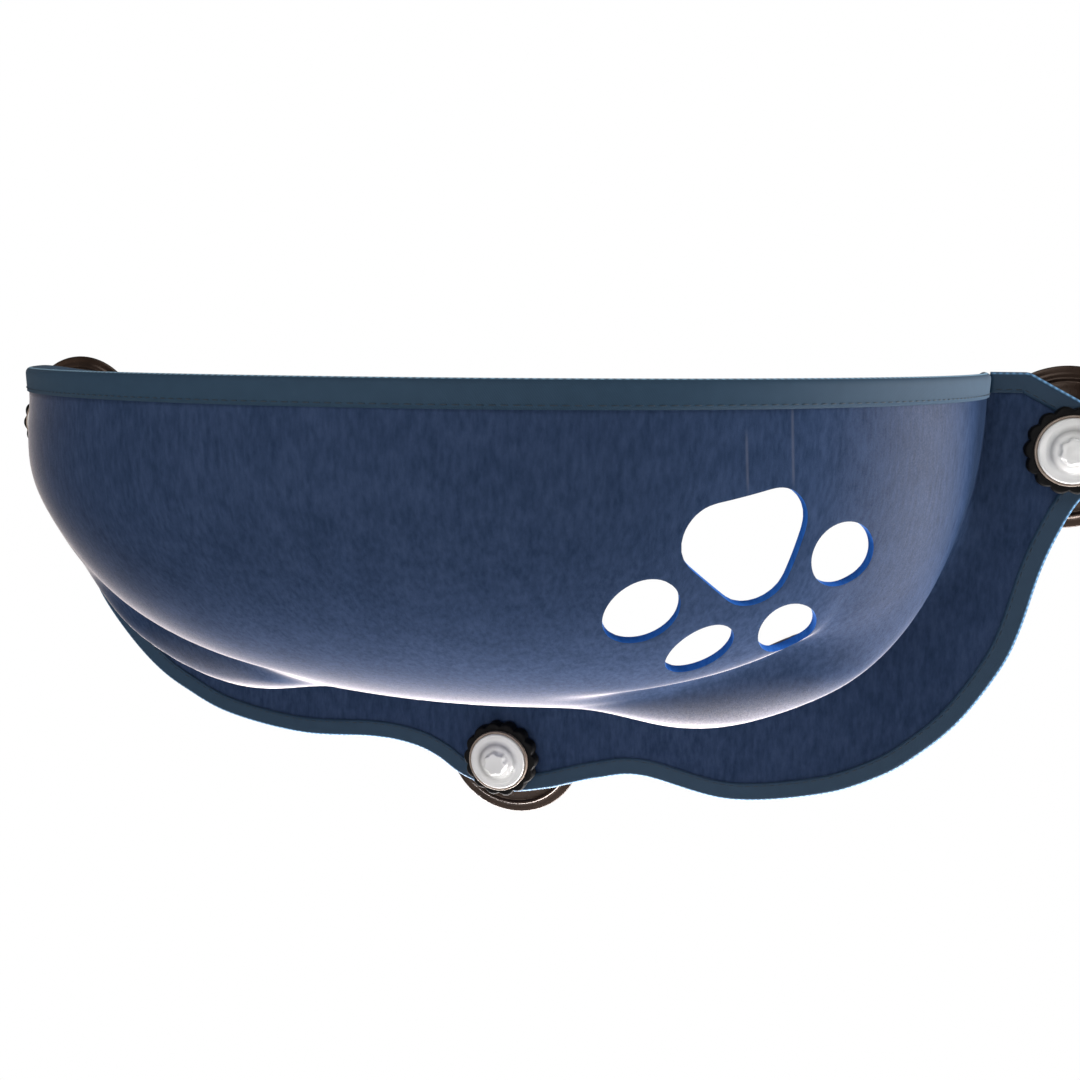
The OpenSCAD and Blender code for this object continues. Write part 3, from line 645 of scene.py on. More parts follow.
# %% Masks that lie at places on the pod. Each zone has an axis, where it starts and where it is full, in mm
UNDER_SHARE, SIDE_SHARE, LIP_SHARE, LEFT_LIP_SHARE = 1.0, 0.17, 0.32, 0.5
# The zones place the painted sheen and the painted shade on the felt.
ZONES_MM = {
    "right wall": ("X", 165, 225, 1.0),
    "underside": ("Z", 58, 46, UNDER_SHARE),
    "wall off glass": ("Y", -80, -150, 1.0),
    "belly off glass": ("Y", -35, -125, 1.0),
    "right of paw's toes": ("X", 75, 105, 1.0),
    "below paw's toes": ("Z", 95, 65, 1.0),
    "front of furrow": ("Y", -108, -125, 1.0),
    "right lip": ("X", 60, 85, 1.0),
    "left lip": ("X", -90, -120, LEFT_LIP_SHARE),
    "under lip": ("Z", 85, 55, 1.0),
    "behind furrow": ("Y", -122, -100, LIP_SHARE),
    "lip off glass": ("Y", -40, -85, 1.0),
    "furrow's length": ("X", 65, 95, 1.0),
    "furrow's height": ("Z", 80, 55, 1.0),
}
spot = axes(heather, place)
zone = {name: ranged(heather, spot[axis], start * MM, full * MM, 0.0, top, "SMOOTHSTEP")
        for name, (axis, start, full, top) in ZONES_MM.items()}


def beside(axis, middle, far, close, top):
    """top close to a place along an axis, 0 far from it, with places in mm."""
    off = calc(heather, "ABSOLUTE", calc(heather, "SUBTRACT", spot[axis], middle * MM))
    return ranged(heather, off, far * MM, close * MM, 0.0, top, "SMOOTHSTEP")


# Painted shade: a darker blue in the bend by the flange and along the furrow.
bend_shade = beside("Y", -55, 35, 12, 0.7)
furrow_shade = product(heather, zone["furrow's length"], zone["furrow's height"], beside("Y", -126, 20, 6, 0.65))
print(len(zone), "zones")

# %% Painted sheen: pale where the eye skims, more on the right wall and most underneath, and painted light on the lip
SHEEN_PAINT_POWER, UNDER_POWER = 10.0, 0.9
outside = given["Outside"]
lit = calc(heather, "MULTIPLY_ADD", zone["right wall"], SIDE_SHARE, zone["underside"])
wide = product(heather, lit, outside, calc(heather, "POWER", given["Skim"], UNDER_POWER))
painted_sheen = calc(heather, "ADD", wide, calc(heather, "POWER", given["Skim"], SHEEN_PAINT_POWER))
# Painted shade: the sheen stays off the wall near the glass and off the wall's lower edge over the furrow.
more = calc(heather, "SUBTRACT", zone["wall off glass"], zone["belly off glass"])
off_glass = calc(heather, "MULTIPLY_ADD", zone["right wall"], more, zone["belly off glass"])
shade_over_furrow = product(heather, zone["right of paw's toes"], zone["below paw's toes"], zone["front of furrow"])
painted_sheen = product(heather, painted_sheen, off_glass, calc(heather, "SUBTRACT", 1.0, shade_over_furrow))
# Painted light from below on the lip's underside, added to the painted sheen.
lips = calc(heather, "ADD", zone["right lip"], zone["left lip"])
lip_sheen = product(heather, lips, zone["under lip"], zone["behind furrow"], zone["lip off glass"], outside)
tufts = ranged(heather, fibre, 0.35, 0.65, 0.6, 1.3)
painted_sheen = calc(heather, "MULTIPLY", calc(heather, "ADD", painted_sheen, lip_sheen), tufts, clamp=True)

# %% Two faint fold lines above the paw, painted pale, the painted shade, and the felt's colour put together. Places and widths are in mm
FOLD_LINES_MM = ((148.2, 168, 196), (163.6, 170, 206))
FOLD_LEAN, FOLD_WIDE, FOLD_THIN, FOLD_END, FOLD_SHARE = 0.05, 0.7, 0.1, 8, 0.05
FOLD_SHADE = (0.006, 0.012, 0.028, 1)
folds = 0.0
for line_x, low, high in FOLD_LINES_MM:
    leant = calc(heather, "MULTIPLY_ADD", spot["Z"], FOLD_LEAN, spot["X"])
    off = calc(heather, "SUBTRACT", leant, (line_x + FOLD_LEAN * (low + high) / 2) * MM)
    off = calc(heather, "ABSOLUTE", off)
    line = ranged(heather, off, FOLD_WIDE * MM, FOLD_THIN * MM, 0.0, FOLD_SHARE, "SMOOTHSTEP")
    foot_end = ranged(heather, spot["Z"], low * MM, (low + FOLD_END) * MM, way="SMOOTHSTEP")
    top_end = ranged(heather, spot["Z"], high * MM, (high - FOLD_END) * MM, way="SMOOTHSTEP")
    folds = calc(heather, "MULTIPLY_ADD", line, product(heather, foot_end, top_end), folds)
shaded = mixed(heather, calc(heather, "MAXIMUM", bend_shade, furrow_shade), blues, FOLD_SHADE)
pale = calc(heather, "MULTIPLY_ADD", folds, outside, painted_sheen, clamp=True)
heather.links.new(mixed(heather, pale, shaded, given["Fuzz"]), made["Color"])
print("heather has", len(heather.nodes), "nodes")

# %% The felt's three finishes: its face, its inside and its cut edges
NAVY_DARK, NAVY_LIGHT = (0.018, 0.034, 0.076, 1), (0.038, 0.062, 0.128, 1)
# Painted backlight: the bright blues of cut edges, fading in from 60 to 80 mm off the glass.
BACKLIT_DARK, BACKLIT_LIGHT = (0.015, 0.085, 0.36, 1), (0.03, 0.14, 0.50, 1)
BACKLIT_FROM, BACKLIT_FULL = -60 * MM, -80 * MM
FELT_BUMP, FELT_BUMP_DEPTH = 0.25, 0.6 * MM


def felt_material(name, painted_sheen, outside, backlit=False):
    """Felt with its painted sheen's colour. Backlit cut edges in the front wall only get a painted backlight,
    bright blue.
    """
    mat, tree, shader = new_material(name, rough=0.95, Specular_IOR_Level=0.02)
    dark, light = NAVY_DARK, NAVY_LIGHT
    if backlit:
        share = ranged(tree, axes(tree, object_places(tree))["Y"], BACKLIT_FROM, BACKLIT_FULL)
        dark, light = mixed(tree, share, dark, BACKLIT_DARK), mixed(tree, share, light, BACKLIT_LIGHT)
    skim = add(tree, "LayerWeight", Blend=0.5).outputs["Facing"]
    look = place_group(tree, heather, Dark=dark, Light=light, Fuzz=(*painted_sheen, 1), Skim=skim, Outside=outside)
    tree.links.new(look["Color"], shader.inputs["Base Color"])
    raise_grain(tree, shader, look["Height"], FELT_BUMP, FELT_BUMP_DEPTH)
    return mat


# The first colour of each finish is its painted sheen's colour.
felt_face = felt_material("navy_felt", (0.82, 0.76, 0.77), 1.0)
felt_inside = felt_material("navy_felt_inside", (0.45, 0.42, 0.44), 0.0)
felt_cut = felt_material("cut_felt_edge", (0.3, 0.5, 0.9), 0.0, backlit=True)
print("felt finishes:", felt_face.name, felt_inside.name, felt_cut.name)

# %% [markdown]
# ## The felt pod
# The sheet so far has no thickness. Solidify gives it one on the inner side, so the worked-out face stays
# where it is, and it sets one finish for the inside and one for the cut edges. A narrow bevel then softens
# the edges, as felt has no sharp ones.

# %% The felt pod, with its thickness
EDGE_BEVEL, BEVEL_ANGLE = 0.5 * MM, math.radians(60)
felt_pod = finish_mesh(felt, "felt_pod", felt_face, felt_cut, felt_inside)
wall_thickness = felt_pod.modifiers.new("thickness", "SOLIDIFY")
wall_thickness.thickness = FELT_T
wall_thickness.offset = -1
wall_thickness.use_even_offset = True
wall_thickness.use_quality_normals = True
wall_thickness.material_offset_rim = 1
wall_thickness.material_offset = 2
soft_edge = felt_pod.modifiers.new("soft edge", "BEVEL")
soft_edge.width = EDGE_BEVEL
soft_edge.segments = 2
soft_edge.limit_method = "ANGLE"
soft_edge.angle_limit = BEVEL_ANGLE
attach(felt_pod, "root")
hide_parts("felt_shell")

# %% [markdown]
# ## Woven tape
# Both edges are bound with a folded tape, which hides the felt's edge and carries the stitching. A curve
# with a bevel profile could make it, but would twist at the ears. So its cross-section is swept along the
# edge as a grid, which also gives each point a place along and across the tape for the weave.

# %% Tape: very fine twill ribs, and a painted highlight along the fold, a paler beaded line where the ribs catch the light
BANDS = {"wave_type": "BANDS", "bands_direction": "X", "wave_profile": "SIN"}
LINE_WIDE, LINE_THIN, TWILL_SLOPE, TAPE_BUMP_DEPTH = 1.1 * MM, 0.2 * MM, math.radians(35), 0.3 * MM
twill, given, made = new_group(
    "twill", {"Dark": "Color", "Light": "Color", "Edge": "Color", "Fold": "Float"},
    {"Color": "Color", "Height": "Float"})
on_tape = add(twill, "UVMap", {"uv_map": "along"}).outputs[0]
slope = add(twill, "Mapping", Rotation=(0, 0, TWILL_SLOPE))
twill.links.new(on_tape, slope.inputs["Vector"])
ribs = texture(twill, "Wave", slope.outputs[0], BANDS, Scale=420.0, Distortion=1.5, Detail=1.0)
soft = texture(twill, "Noise", on_tape, Scale=160.0, Detail=3.0)
weave = weighted(twill, (ribs, 0.4), (soft, 0.6))
cloth = mixed(twill, weave, given["Dark"], given["Light"])
off_fold = calc(twill, "ABSOLUTE", calc(twill, "SUBTRACT", axes(twill, on_tape)["Y"], given["Fold"]))
line = ranged(twill, off_fold, LINE_WIDE, LINE_THIN, way="SMOOTHSTEP")
beads = ranged(twill, texture(twill, "Wave", on_tape, BANDS, Scale=105.0), 0.0, 1.0, 0.35, 1.0)
painted_highlight = calc(twill, "MULTIPLY", line, beads, clamp=True)
twill.links.new(mixed(twill, painted_highlight, cloth, given["Edge"]), made["Color"])
twill.links.new(weave, made["Height"])


def tape_material(name, dark, light, edge, fold, bump, rough):
    mat, tree, shader = new_material(name, rough=rough, Specular_IOR_Level=0.35,
                                     Sheen_Weight=0.05, Sheen_Roughness=0.4, Sheen_Tint=(0.75, 0.9, 1, 1))
    look = place_group(tree, twill, Dark=(*dark, 1), Light=(*light, 1), Edge=(*edge, 1), Fold=fold)
    tree.links.new(look["Color"], shader.inputs["Base Color"])
    raise_grain(tree, shader, look["Height"], bump, TAPE_BUMP_DEPTH)
    return mat


# Each tape's third colour is its painted highlight along the fold.
RIM_FOLD_AT, EDGE_FOLD_AT = 12.0 * MM, 9.6 * MM
rim_cloth = tape_material("rim_twill", (0.009, 0.033, 0.066), (0.020, 0.054, 0.098), (0.35, 0.60, 0.80),
                          RIM_FOLD_AT, 0.25, 0.75)
edge_cloth = tape_material("edge_tape", (0.009, 0.034, 0.070), (0.017, 0.050, 0.096), (0.16, 0.36, 0.62),
                           EDGE_FOLD_AT, 0.15, 0.6)
print("twill has", len(twill.nodes), "nodes")

# %% Sweep a tape along a line
TAPE_T = 0.75 * MM


def swept_tape(name, line, out_way, back_way, section, cloth):
    """A tape along a line. Each section point is a shift outwards and a shift along the second direction."""
    places = np.array([line + out_way * a + back_way * b for a, b in section])
    bm = bmesh.new()
    laid_grid(bm, places)
    uv = bm.loops.layers.uv.new("along")
    cols = places.shape[1]
    far, wide = lengths(line), lengths(np.array(section))
    bm.verts.index_update()
    for f in bm.faces:
        for loop in f.loops:
            j, i = divmod(loop.vert.index, cols)
            loop[uv].uv = (far[i], wide[j])
    bmesh.ops.recalc_face_normals(bm, faces=bm.faces)
    bm.faces.ensure_lookup_table()
    middle = cols // 2
    outwards = Vector(out_way[middle] * section[0][0] + back_way[middle] * section[0][1])
    if bm.faces[middle].normal.dot(outwards) < 0:
        bmesh.ops.reverse_faces(bm, faces=bm.faces)
    piece = finish_mesh(bm, name, cloth)
    thickness = piece.modifiers.new("thickness", "SOLIDIFY")
    thickness.thickness, thickness.offset = TAPE_T, -1
    return piece


# %% Rim tape: its line is the felt's outer top edge, seen from above
RIM_STEPS, RIM_FINE = 420, 4001
RIM_END_GAP = 1.3 * MM
RIM_FOLD, RIM_FOLD_R = (-1.5, -2.75), 2.72
tip = math.asin(((FELT_T + RIM_END_GAP) / POD_OUT) ** (PLAN_POWER / 2))
across, out = rim_curve(np.linspace(tip, np.pi - tip, RIM_FINE))
ellipse = np.stack([across, -(FELT_BACK + out), RIM_Z - sag(out, across)], 1)
normal = np.stack([np.sign(across) * np.abs(across / POD_HALF) ** (PLAN_POWER - 1) / POD_HALF,
                   -(out / POD_OUT) ** (PLAN_POWER - 1) / POD_OUT, np.zeros(RIM_FINE)], 1)
normal /= np.linalg.norm(normal, axis=1)[:, None]
ellipse_at = lengths(ellipse)
even = np.linspace(0, ellipse_at[-1], RIM_STEPS)
rim_line, rim_out = sampled(ellipse, ellipse_at, even), sampled(normal, ellipse_at, even)
rim_up = np.tile([0.0, 0, 1], (RIM_STEPS, 1))
RIM_FRONT = [(0.95, -11.2), (1.0, -9.0), (1.1, -6.5), (1.2, -4.2)]
RIM_BACK = [(-4.2, -4.2), (-4.1, -6.5), (-4.0, -9.0), (-3.95, -11.2)]
rim_section = np.array(RIM_FRONT + arc(*RIM_FOLD, RIM_FOLD_R, 0, 180, 9) + RIM_BACK) * MM
rim_tape = swept_tape("rim_tape", rim_line, rim_out, rim_up, rim_section, rim_cloth)
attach(rim_tape, "root")
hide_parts("rim_binding")

# %% Flange tape: its line is the felt's edge
EDGE_STEPS = 480
even = np.linspace(0, outer_at[-1], EDGE_STEPS)
edge = np.insert(sampled(outline, outer_at, even), 1, -FELT_BACK, axis=1)
way = np.gradient(edge, axis=0)
edge_out = np.stack([-way[:, 2], np.zeros(EDGE_STEPS), way[:, 0]], 1)
edge_out /= np.linalg.norm(edge_out, axis=1)[:, None]
if edge_out[0][2] < 0:
    edge_out = -edge_out
edge_front = np.tile([0.0, -1, 0], (EDGE_STEPS, 1))
EDGE_FRONT = [(-9.0, 3.85), (-7.5, 4.0), (-4.5, 4.0), (-1.5, 4.0)]
EDGE_FOLD = arc(-0.9, 2.1, 1.9, 90, 0) + arc(-0.9, 0.9, 1.9, 0, -90)
EDGE_BACK = [(-1.5, -1.0), (-4.5, -1.0), (-7.5, -1.0), (-9.0, -0.85)]
edge_section = np.array(EDGE_FRONT + EDGE_FOLD + EDGE_BACK) * MM
flange_tape = swept_tape("flange_tape", edge, edge_out, edge_front, edge_section, edge_cloth)
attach(flange_tape, "root")
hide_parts("flange_binding")
print("tapes along", round(lengths(rim_line)[-1] / MM), "and", round(outer_at[-1] / MM), "mm")

# %% [markdown]
# ## Stitches
# Each stitch is one short thread that dips into the tape at both ends. A dashed texture would look flat from
# the side, so each is made: one low sphere, stretched and turned to the tape's run, with few faces because
# there are hundreds.

# %% Rows of stitches
STITCH_PITCH, STITCH_HALF_W, STITCH_HALF_H, RUN_STEP = 4.36 * MM, 0.27 * MM, 0.2 * MM, 0.2 * MM
STITCH_SHARE = 0.36


def stitches(name, line, out_way, back_way, rows, colour):
    """Rows of stitches on a tape. Each row is a place across the tape and the way its thread stands up."""
    bm = bmesh.new()
    for at_out, at_back, lift_out, lift_back in rows:
        path = line + out_way * at_out + back_way * at_back
        own = lengths(path)
        for s in np.arange(STITCH_PITCH, own[-1] - STITCH_PITCH, STITCH_PITCH):
            p, q = sampled(path, own, np.array([s, s + RUN_STEP]))
            k = int(np.interp(s, own, np.arange(len(own))))
            run = Vector(q - p).normalized()
            lift = Vector(out_way[k] * lift_out + back_way[k] * lift_back).normalized()
            turn = Matrix((run, lift.cross(run).normalized(), lift)).transposed().to_4x4()
            size = Matrix.Diagonal((STITCH_PITCH * STITCH_SHARE, STITCH_HALF_W, STITCH_HALF_H, 1))
            bmesh.ops.create_uvsphere(bm, u_segments=6, v_segments=4, radius=1,
                                      matrix=Matrix.Translation(p) @ turn @ size)
    piece = finish_mesh(bm, name, colour)
    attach(piece, "root")


thread, tree, shader = new_material("thread", rough=0.7)
TWIST = {"wave_type": "BANDS", "bands_direction": "DIAGONAL"}
ply = texture(tree, "Wave", object_places(tree), TWIST, Scale=900.0)
ply_tone = mixed(tree, ply, (0.008, 0.020, 0.036, 1), (0.016, 0.034, 0.056, 1))
tree.links.new(ply_tone, shader.inputs["Base Color"])
RIM_ROWS = ((1.12 * MM, -9.6 * MM, 1, 0), (-4.12 * MM, -9.6 * MM, -1, 0))
EDGE_ROWS = ((-7.4 * MM, 4.05 * MM, 0, 1), (-7.4 * MM, -1.05 * MM, 0, -1))
stitches("rim_stitches", rim_line, rim_out, rim_up, RIM_ROWS, thread)
stitches("flange_stitches", edge, edge_out, edge_front, EDGE_ROWS, thread)

# %% [markdown]
# ## Turned pieces
# Cups, nuts, rings and caps are moulded round, so a half profile is spun about each stud's axis. Stacked
# cylinders would need their joins hidden, and a profile has every lip and fillet in one line. Lobes for the
# fingers are added afterwards by moving vertices in towards the axis.

# %% Spin a profile, and pull it in between lobes
FINE_STEPS, PROFILE_WELD = 128, 0.005 * MM


def turned(profile, side, steps=96):
    """Spins a profile of radius and height, in mm, round a cup's axis."""
    bm = bmesh.new()
    at = CUP_AT[side]
    line = [bm.verts.new((at.x + r * MM, at.y - h * MM, at.z)) for r, h in profile]
    line += [bm.edges.new(pair) for pair in zip(line, line[1:])]
    bmesh.ops.spin(bm, geom=line, cent=at, axis=(0, 1, 0), angle=math.tau, steps=steps, use_merge=True)
    bmesh.ops.remove_doubles(bm, verts=bm.verts, dist=PROFILE_WELD)
    bmesh.ops.recalc_face_normals(bm, faces=bm.faces)
    return bm


def pulled_in(bm, side, shift):
    """Moves each vertex to a share of its radius, which shift gives for radius, height and angle."""
    at = CUP_AT[side]
    for v in bm.verts:
        x, z = v.co.x - at.x, v.co.z - at.z
        share = shift(math.hypot(x, z) / MM, -v.co.y / MM, math.atan2(z, x))
        v.co.x, v.co.z = at.x + x * share, at.z + z * share


def round_box(node):
    """The lower and upper height off the glass and the radius of a node of the lower cup, in mm."""
    low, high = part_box(node)
    return -high.y / MM, -low.y / MM, (high.x - low.x) / 2 / MM


def speckled(name, colours, gloss, scale, detail, extra=None, **constants):
    """A moulded finish. Colours and gloss are each a pair of values with where the noise is at them."""
    mat, tree, shader = new_material(name, **constants)
    cloud = texture(tree, "Noise", object_places(tree), Scale=scale, Detail=detail, **(extra or {}))
    if colours:
        start, end, first, second = colours
        tone = mixed(tree, ranged(tree, cloud, start, end), (*first, 1), (*second, 1))
        tree.links.new(tone, shader.inputs["Base Color"])
    if gloss:
        tree.links.new(ranged(tree, cloud, *gloss), shader.inputs["Roughness"])
    return mat, tree, shader, cloud


# %% [markdown]
# ## Suction cups
# Each cup is one piece of brown rubber: a flat lip on the glass, a raised outer ring, a dome and a neck that
# holds the stud. Real rubber is smooth but hazy, so a slow noise varies how glossy it is.

# %% Suction cups
BROWNS = (0.3, 0.7, (0.020, 0.012, 0.009), (0.036, 0.022, 0.016))
rubber = speckled("brown_rubber", BROWNS, (0.35, 0.7, 0.20, 0.34), 70.0, 4.0,
                  Specular_IOR_Level=0.4, Specular_Tint=(1.0, 0.78, 0.66, 1))[0]
CUP_LIP = [(37, 0), (39.6, 0)] + arc(39.2, 0.8, 0.8, -60, 80) + [(37.2, 1.9), (35.4, 2.2)]
CUP_RING = arc(34.0, 3.2, 0.9, 40, 150, 6) + [(32.6, 2.9), (31.4, 3.2), (29.8, 4.3)]
CUP_DOME = [(27, 5.7), (23, 7.2), (19, 8.5), (15.5, 9.5), (13.2, 10.2)]
CUP_NECK = arc(13.2, 12.4, 2.2, 270, 180) + [(11, 14.0)] + arc(10.5, 14.05, 0.5, 0, 90, 3)
CUP_SOCKET = [(3.05, 14.55), (3.05, 7.05), (8.0, 7.05), (8.0, 4.7), (0, 4.7)]
CUP_HOLLOW = [(0, 4.5), (9, 4.4), (18, 3.9), (26, 3.0), (32, 1.7), (35.5, 0.6), (37, 0)]
for side in SIDES:
    bm = turned(CUP_LIP + CUP_RING + CUP_DOME + CUP_NECK + CUP_SOCKET + CUP_HOLLOW, side, FINE_STEPS)
    cup = finish_mesh(bm, side + "_cup_skin", rubber)
    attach(cup, "root")
    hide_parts(side + "_suction_cup")

# %% [markdown]
# ## Hand nuts
# The black nuts have rounded lobes for the fingers and the fine matt grain of a moulded part. A gear-like
# outline could be extruded, but spinning the profile first keeps its rounded rims, and the lobes then only
# need the outer part pulled in between them.

# %% Hand nuts
NUT_BORE_R, NUT_BACK_EDGE, NUT_FRONT_EDGE, NUT_FACE_IN = 3.1, 1.2, 1.6, 3
NUT_LOBES, STEPS_PER_LOBE, LOBE_DEPTH, LOBE_POWER, LOBE_FROM_SHARE = 14, 12, 1.9, 0.9, 0.7
NUT_BUMP, NUT_BUMP_DEPTH = 0.12, 0.3 * MM
black, tree, shader, grain = speckled("black_plastic", None, (0.3, 0.7, 0.52, 0.68), 900.0, 2.0,
                                      colour=(0.0035, 0.0035, 0.004), Specular_IOR_Level=0.12)
raise_grain(tree, shader, grain, NUT_BUMP, NUT_BUMP_DEPTH)
nut_low, nut_high, nut_r = round_box("lower_hand_nut")
lobe_from = nut_r * LOBE_FROM_SHARE


def between_lobes(r, h, angle):
    lobe = abs(math.cos(angle * NUT_LOBES / 2)) ** LOBE_POWER
    return 1 - LOBE_DEPTH / nut_r * (1 - lobe) * min(1, max(0, r - lobe_from) / (nut_r - lobe_from))


NUT_BACK = [(NUT_BORE_R, nut_low), (nut_r - NUT_BACK_EDGE, nut_low)]
NUT_BACK += arc(nut_r - NUT_BACK_EDGE, nut_low + NUT_BACK_EDGE, NUT_BACK_EDGE, -70, 0, 4)
NUT_FRONT = arc(nut_r - NUT_FRONT_EDGE, nut_high - NUT_FRONT_EDGE, NUT_FRONT_EDGE, 0, 80)
NUT_FRONT += [(nut_r - NUT_FACE_IN, nut_high)]
NUT_BORE = [(NUT_BORE_R, nut_high), (NUT_BORE_R, nut_low)]
for side in SIDES:
    bm = turned(NUT_BACK + NUT_FRONT + NUT_BORE, side, NUT_LOBES * STEPS_PER_LOBE)
    pulled_in(bm, side, between_lobes)
    nut = finish_mesh(bm, side + "_nut_skin", black)
    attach(nut, side + "_knob")
    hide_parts(side + "_hand_nut")

# %% [markdown]
# ## Trim rings
# A taupe ring shows as a thin band round each white cap. It is one more spun profile: a shallow dish with a
# rounded lip that the cap sits in.

# %% Trim rings
RING_BORE_R, RING_FLOOR_T, RING_WALL_T = 7.7, 0.8, 1.2
RING_FOOT_EDGE, RING_LIP_R, RING_LIP_DROP = 0.3, 0.45, 0.6
TAUPES = (0.3, 0.7, (0.27, 0.21, 0.17), (0.34, 0.27, 0.22))
taupe = speckled("taupe_plastic", TAUPES, None, 120.0, 3.0, rough=0.3, Specular_IOR_Level=0.5)[0]
ring_low, ring_high, ring_r = round_box("lower_trim_ring")
RING_FLOOR, RING_WALL = ring_low + RING_FLOOR_T, ring_r - RING_WALL_T
RING_OUTSIDE = [(RING_BORE_R, ring_low), (ring_r - RING_FOOT_EDGE, ring_low)]
RING_OUTSIDE += arc(ring_r - RING_FOOT_EDGE, ring_low + RING_FOOT_EDGE, RING_FOOT_EDGE, -60, 0, 3)
RING_LIP = arc(ring_r - RING_LIP_R, ring_high - RING_LIP_R, RING_LIP_R, 0, 180, 7)
RING_DISH = [(RING_WALL, ring_high - RING_LIP_DROP), (RING_WALL, RING_FLOOR),
             (RING_BORE_R, RING_FLOOR), (RING_BORE_R, ring_low)]
for side in SIDES:
    ring = finish_mesh(turned(RING_OUTSIDE + RING_LIP + RING_DISH, side), side + "_ring_skin", taupe)
    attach(ring, side + "_knob")
    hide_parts(side + "_trim_ring")

# %% [markdown]
# ## Caps
# The white cap is glossy, a shallow cone with a small boss in its middle that has seven soft flutes. The
# flutes fade in from the boss's foot and towards its middle, so the boss's top and the cone stay round. A
# thin clear coat over a half-glossy white gives the soft, wide highlights.

# %% Caps
CAP_BORE_R, FACE_OVER_FOOT, CAP_EDGE, CAP_SHOULDER_R, CAP_SHOULDER_UP = 3.3, 3.0, 0.5, 1.2, 1.6
BOSS_TOP_R, BOSS_EDGE = 5.5, 0.9
BOSS_DISH = ((4.3, 0.03), (3.0, 0.12), (1.5, 0.25), (0, 0.28))
FLUTES, FLUTE_DEPTH_SHARE, FLUTE_TURN = 7, 0.07, 0.3
FLUTE_IN_R, FLUTE_OUT_R, FLUTE_SOFT, FLUTE_FOOT = 3.5, 7.2, 1.5, 0.6
WHITES = (0.3, 0.7, (0.77, 0.77, 0.765), (0.82, 0.82, 0.81))
white = speckled("white_plastic", WHITES, (0.3, 0.7, 0.27, 0.36), 90.0, 3.0,
                 Specular_IOR_Level=0.4, Coat_Roughness=0.12, Coat_Weight=0.12)[0]
cap_low, boss_high, cap_r = round_box("lower_cap")
face = cap_low + FACE_OVER_FOOT


def round_flutes(r, h, angle):
    if not (FLUTE_IN_R < r < FLUTE_OUT_R and h > face + FLUTE_FOOT):
        return 1
    share = min(1, h - face - FLUTE_FOOT) * min(1, (r - FLUTE_IN_R) / FLUTE_SOFT)
    return 1 - FLUTE_DEPTH_SHARE * share * (1 - math.cos(angle * FLUTES + FLUTE_TURN))


CAP_RIM = [(CAP_BORE_R, cap_low), (cap_r - CAP_EDGE, cap_low)]
CAP_RIM += arc(cap_r - CAP_EDGE, cap_low + CAP_EDGE, CAP_EDGE, -60, 0, 3)
CAP_RIM += arc(cap_r - CAP_SHOULDER_R, cap_low + CAP_SHOULDER_UP, CAP_SHOULDER_R, 0, 75, 6)
CAP_CONE = [(cap_r - 2.6, face - 0.3), (cap_r - 6, face), (10, face + 0.3)]
CAP_FOOT = [(7.2, face + 0.5), (6.7, face + 0.8), (6.5, face + 1.8)]
CAP_BOSS = arc(BOSS_TOP_R, boss_high - BOSS_EDGE, BOSS_EDGE, 0, 80)
CAP_BOSS += [(r, boss_high - h) for r, h in BOSS_DISH]
CAP_INSIDE = [(0, face), (CAP_BORE_R, face), (CAP_BORE_R, cap_low)]
for side in SIDES:
    bm = turned(CAP_RIM + CAP_CONE + CAP_FOOT + CAP_BOSS + CAP_INSIDE, side, FINE_STEPS)
    pulled_in(bm, side, round_flutes)
    cap = finish_mesh(bm, side + "_cap_skin", white)
    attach(cap, side + "_knob")
    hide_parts(side + "_cap")

# %% [markdown]
# ## Metal
# Studs, washers and eyelets are plain turned metal, and their solid shapes are right as they are. So they
# keep the solid model's meshes and only get a finish: a fine noise that varies both colour and gloss, as
# handled metal does.

# %% Metal finishes
def metal(name, dark, light, rough):
    return speckled(name, (0.35, 0.65, dark, light), (0.0, 1.0, rough - 0.08, rough + 0.1), 260.0, 5.0,
                    {"Roughness": 0.7}, Metallic=1.0)[0]


zinc = metal("zinc_steel", (0.42, 0.43, 0.45), (0.58, 0.59, 0.61), 0.3)
brass = metal("brass", (0.50, 0.36, 0.16), (0.64, 0.48, 0.24), 0.28)
for side in SIDES:
    for part, mat in (("stud", zinc), ("back_washer", zinc), ("front_washer", zinc), ("eyelet", brass)):
        frame["nodes"][f"{side}_{part}"].data.materials.clear()
        frame["nodes"][f"{side}_{part}"].data.materials.append(mat)
print("metal finishes:", zinc.name, brass.name)

# %% [markdown]
# ## Spring wire
# A spring wire inside the rim's tape keeps the rim open, and shows only at the tape's ends. A bevelled curve
# would do, but the tape's own line and directions are at hand, so a round section is swept along them as
# the tape was, and its ends are closed.

# %% Spring wire
WIRE_R, WIRE_TURNS, WIRE_SHORT, WIRE_WELD = 1.25, 13, 4, 0.01 * MM
run = slice(WIRE_SHORT, -WIRE_SHORT)
section = np.array(arc(*RIM_FOLD, WIRE_R, 0, 360, WIRE_TURNS)) * MM
bm = bmesh.new()
laid_grid(bm, np.array([rim_line[run] + rim_out[run] * a + rim_up[run] * b for a, b in section]))
bmesh.ops.remove_doubles(bm, verts=bm.verts, dist=WIRE_WELD)
bmesh.ops.holes_fill(bm, edges=[e for e in bm.edges if e.is_boundary], sides=0)
bmesh.ops.recalc_face_normals(bm, faces=bm.faces)
wire = finish_mesh(bm, "spring_wire", zinc)
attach(wire, "root")
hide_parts("rim_wire")

# %% [markdown]
# ## Stage
# A white sheet runs under and behind the perch in one curve, as in a photographer's studio. The camera sees
# it as plain white through the Light Path node, while it still throws soft light back up at the felt.

# %% Stage
STAGE_HALF_W, STAGE_RUN, STAGE_STEPS = 3.0, 6.0, 40
FLOOR_Z, FLOOR_FRONT, FLOOR_RUN, CURVE_R = -0.45, -1.6, 2.2, 1.0


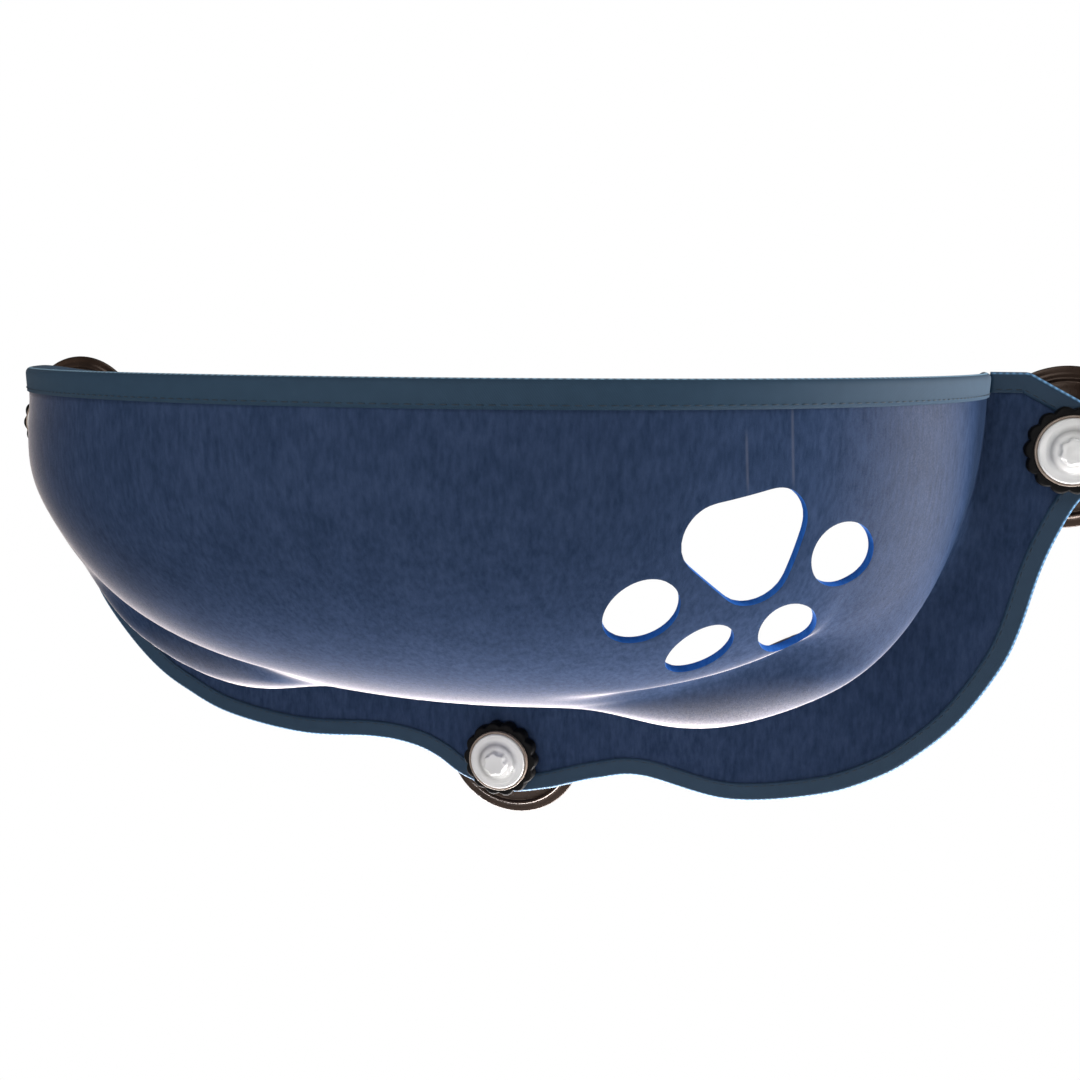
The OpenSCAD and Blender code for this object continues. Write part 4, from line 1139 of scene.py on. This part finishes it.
def stage_place(run):
    """y and z of the sheet, from the floor's front edge through the curve and up the wall."""
    turn = min(max((run - FLOOR_RUN) / CURVE_R, 0), math.pi / 2)
    up = max(run - FLOOR_RUN - CURVE_R * math.pi / 2, 0)
    return (FLOOR_FRONT + min(run, FLOOR_RUN) + CURVE_R * math.sin(turn),
            FLOOR_Z + CURVE_R * (1 - math.cos(turn)) + up)


bm = bmesh.new()
for v in bmesh.ops.create_grid(bm, x_segments=2, y_segments=STAGE_STEPS, size=1)["verts"]:
    v.co = (v.co.x * STAGE_HALF_W, *stage_place((v.co.y + 1) / 2 * STAGE_RUN))
bmesh.ops.recalc_face_normals(bm, faces=bm.faces)
stage_mat, tree, shader = new_material("pale_stage", (0.9, 0.9, 0.9), 0.9)
paths = add(tree, "LightPath").outputs
seen = calc(tree, "MAXIMUM", paths["Is Camera Ray"], paths["Is Transmission Ray"])
glow = add(tree, "Emission", Color=(1, 1, 1, 1), Strength=1.0)
blend = add(tree, "MixShader")
for socket, source in zip(blend.inputs, (seen, shader.outputs[0], glow.outputs[0])):
    tree.links.new(source, socket)
tree.links.new(blend.outputs[0], tree.nodes["Material Output"].inputs["Surface"])
stage = finish_mesh(bm, "stage", stage_mat)

# %% [markdown]
# ## Lamps and world
# Felt needs soft light from the side to show its swells. A large key lamp stands above, a low wide one
# in front lights the underside, one at the right and one behind the flange draw the pod's edges, and a weak
# warm one fills the left. The world adds a little even light, and is white only to the camera.

# %% Lamps. Each has its place, what it points at, its sizes, its power in watts and its colour
LAMPS = {
    "key": ((-0.2, -1.25, 1.4), (0, -0.1, 0.1), (1.2, 0.8), 10, (1.0, 0.98, 0.96)),
    "low front": ((0.0, -1.7, 0.13), (0, -0.1, 0.05), (1.4, 0.2), 9.5, (1.0, 0.98, 0.96)),
    "right side": ((1.25, 0.2, 0.3), (0.1, -0.1, 0.12), (0.3, 0.6), 19, (0.92, 0.97, 1.0)),
    "below": ((0.1, 0.09, -0.36), (0.05, -0.1, 0.1), (0.9, 0.12), 13, (1.0, 0.95, 0.93)),
    "left fill": ((-1.5, -0.9, 0.4), (0, -0.1, 0.1), (0.9, 0.9), 1.2, (1.0, 0.72, 0.52)),
}
for name, (at, aim, size, watts, colour) in LAMPS.items():
    lamp = bpy.data.lights.new(name, "AREA")
    lamp.shape, lamp.size, lamp.size_y = "RECTANGLE", *size
    lamp.energy, lamp.color = watts, colour
    holder = bpy.data.objects.new(name, lamp)
    bpy.context.collection.objects.link(holder)
    holder.location = at
    holder.rotation_euler = (Vector(aim) - Vector(at)).to_track_quat("-Z", "Y").to_euler()
print(len(LAMPS), "lamps")

# %% World
world = bpy.data.worlds.new("studio")
bpy.context.scene.world = world
world.use_nodes = True
tree = world.node_tree
soft_sky = tree.nodes["Background"]
soft_sky.inputs["Color"].default_value = (0.95, 0.97, 1.0, 1)
soft_sky.inputs["Strength"].default_value = 0.08
plain_white = add(tree, "Background", Color=(1, 1, 1, 1), Strength=1.0)
sky = add(tree, "MixShader")
to_camera = add(tree, "LightPath").outputs["Is Camera Ray"]
for socket, source in zip(sky.inputs, (to_camera, soft_sky.outputs[0], plain_white.outputs[0])):
    tree.links.new(source, socket)
tree.links.new(sky.outputs[0], tree.nodes["World Output"].inputs["Surface"])
bpy.context.scene.view_settings.view_transform = "Standard"
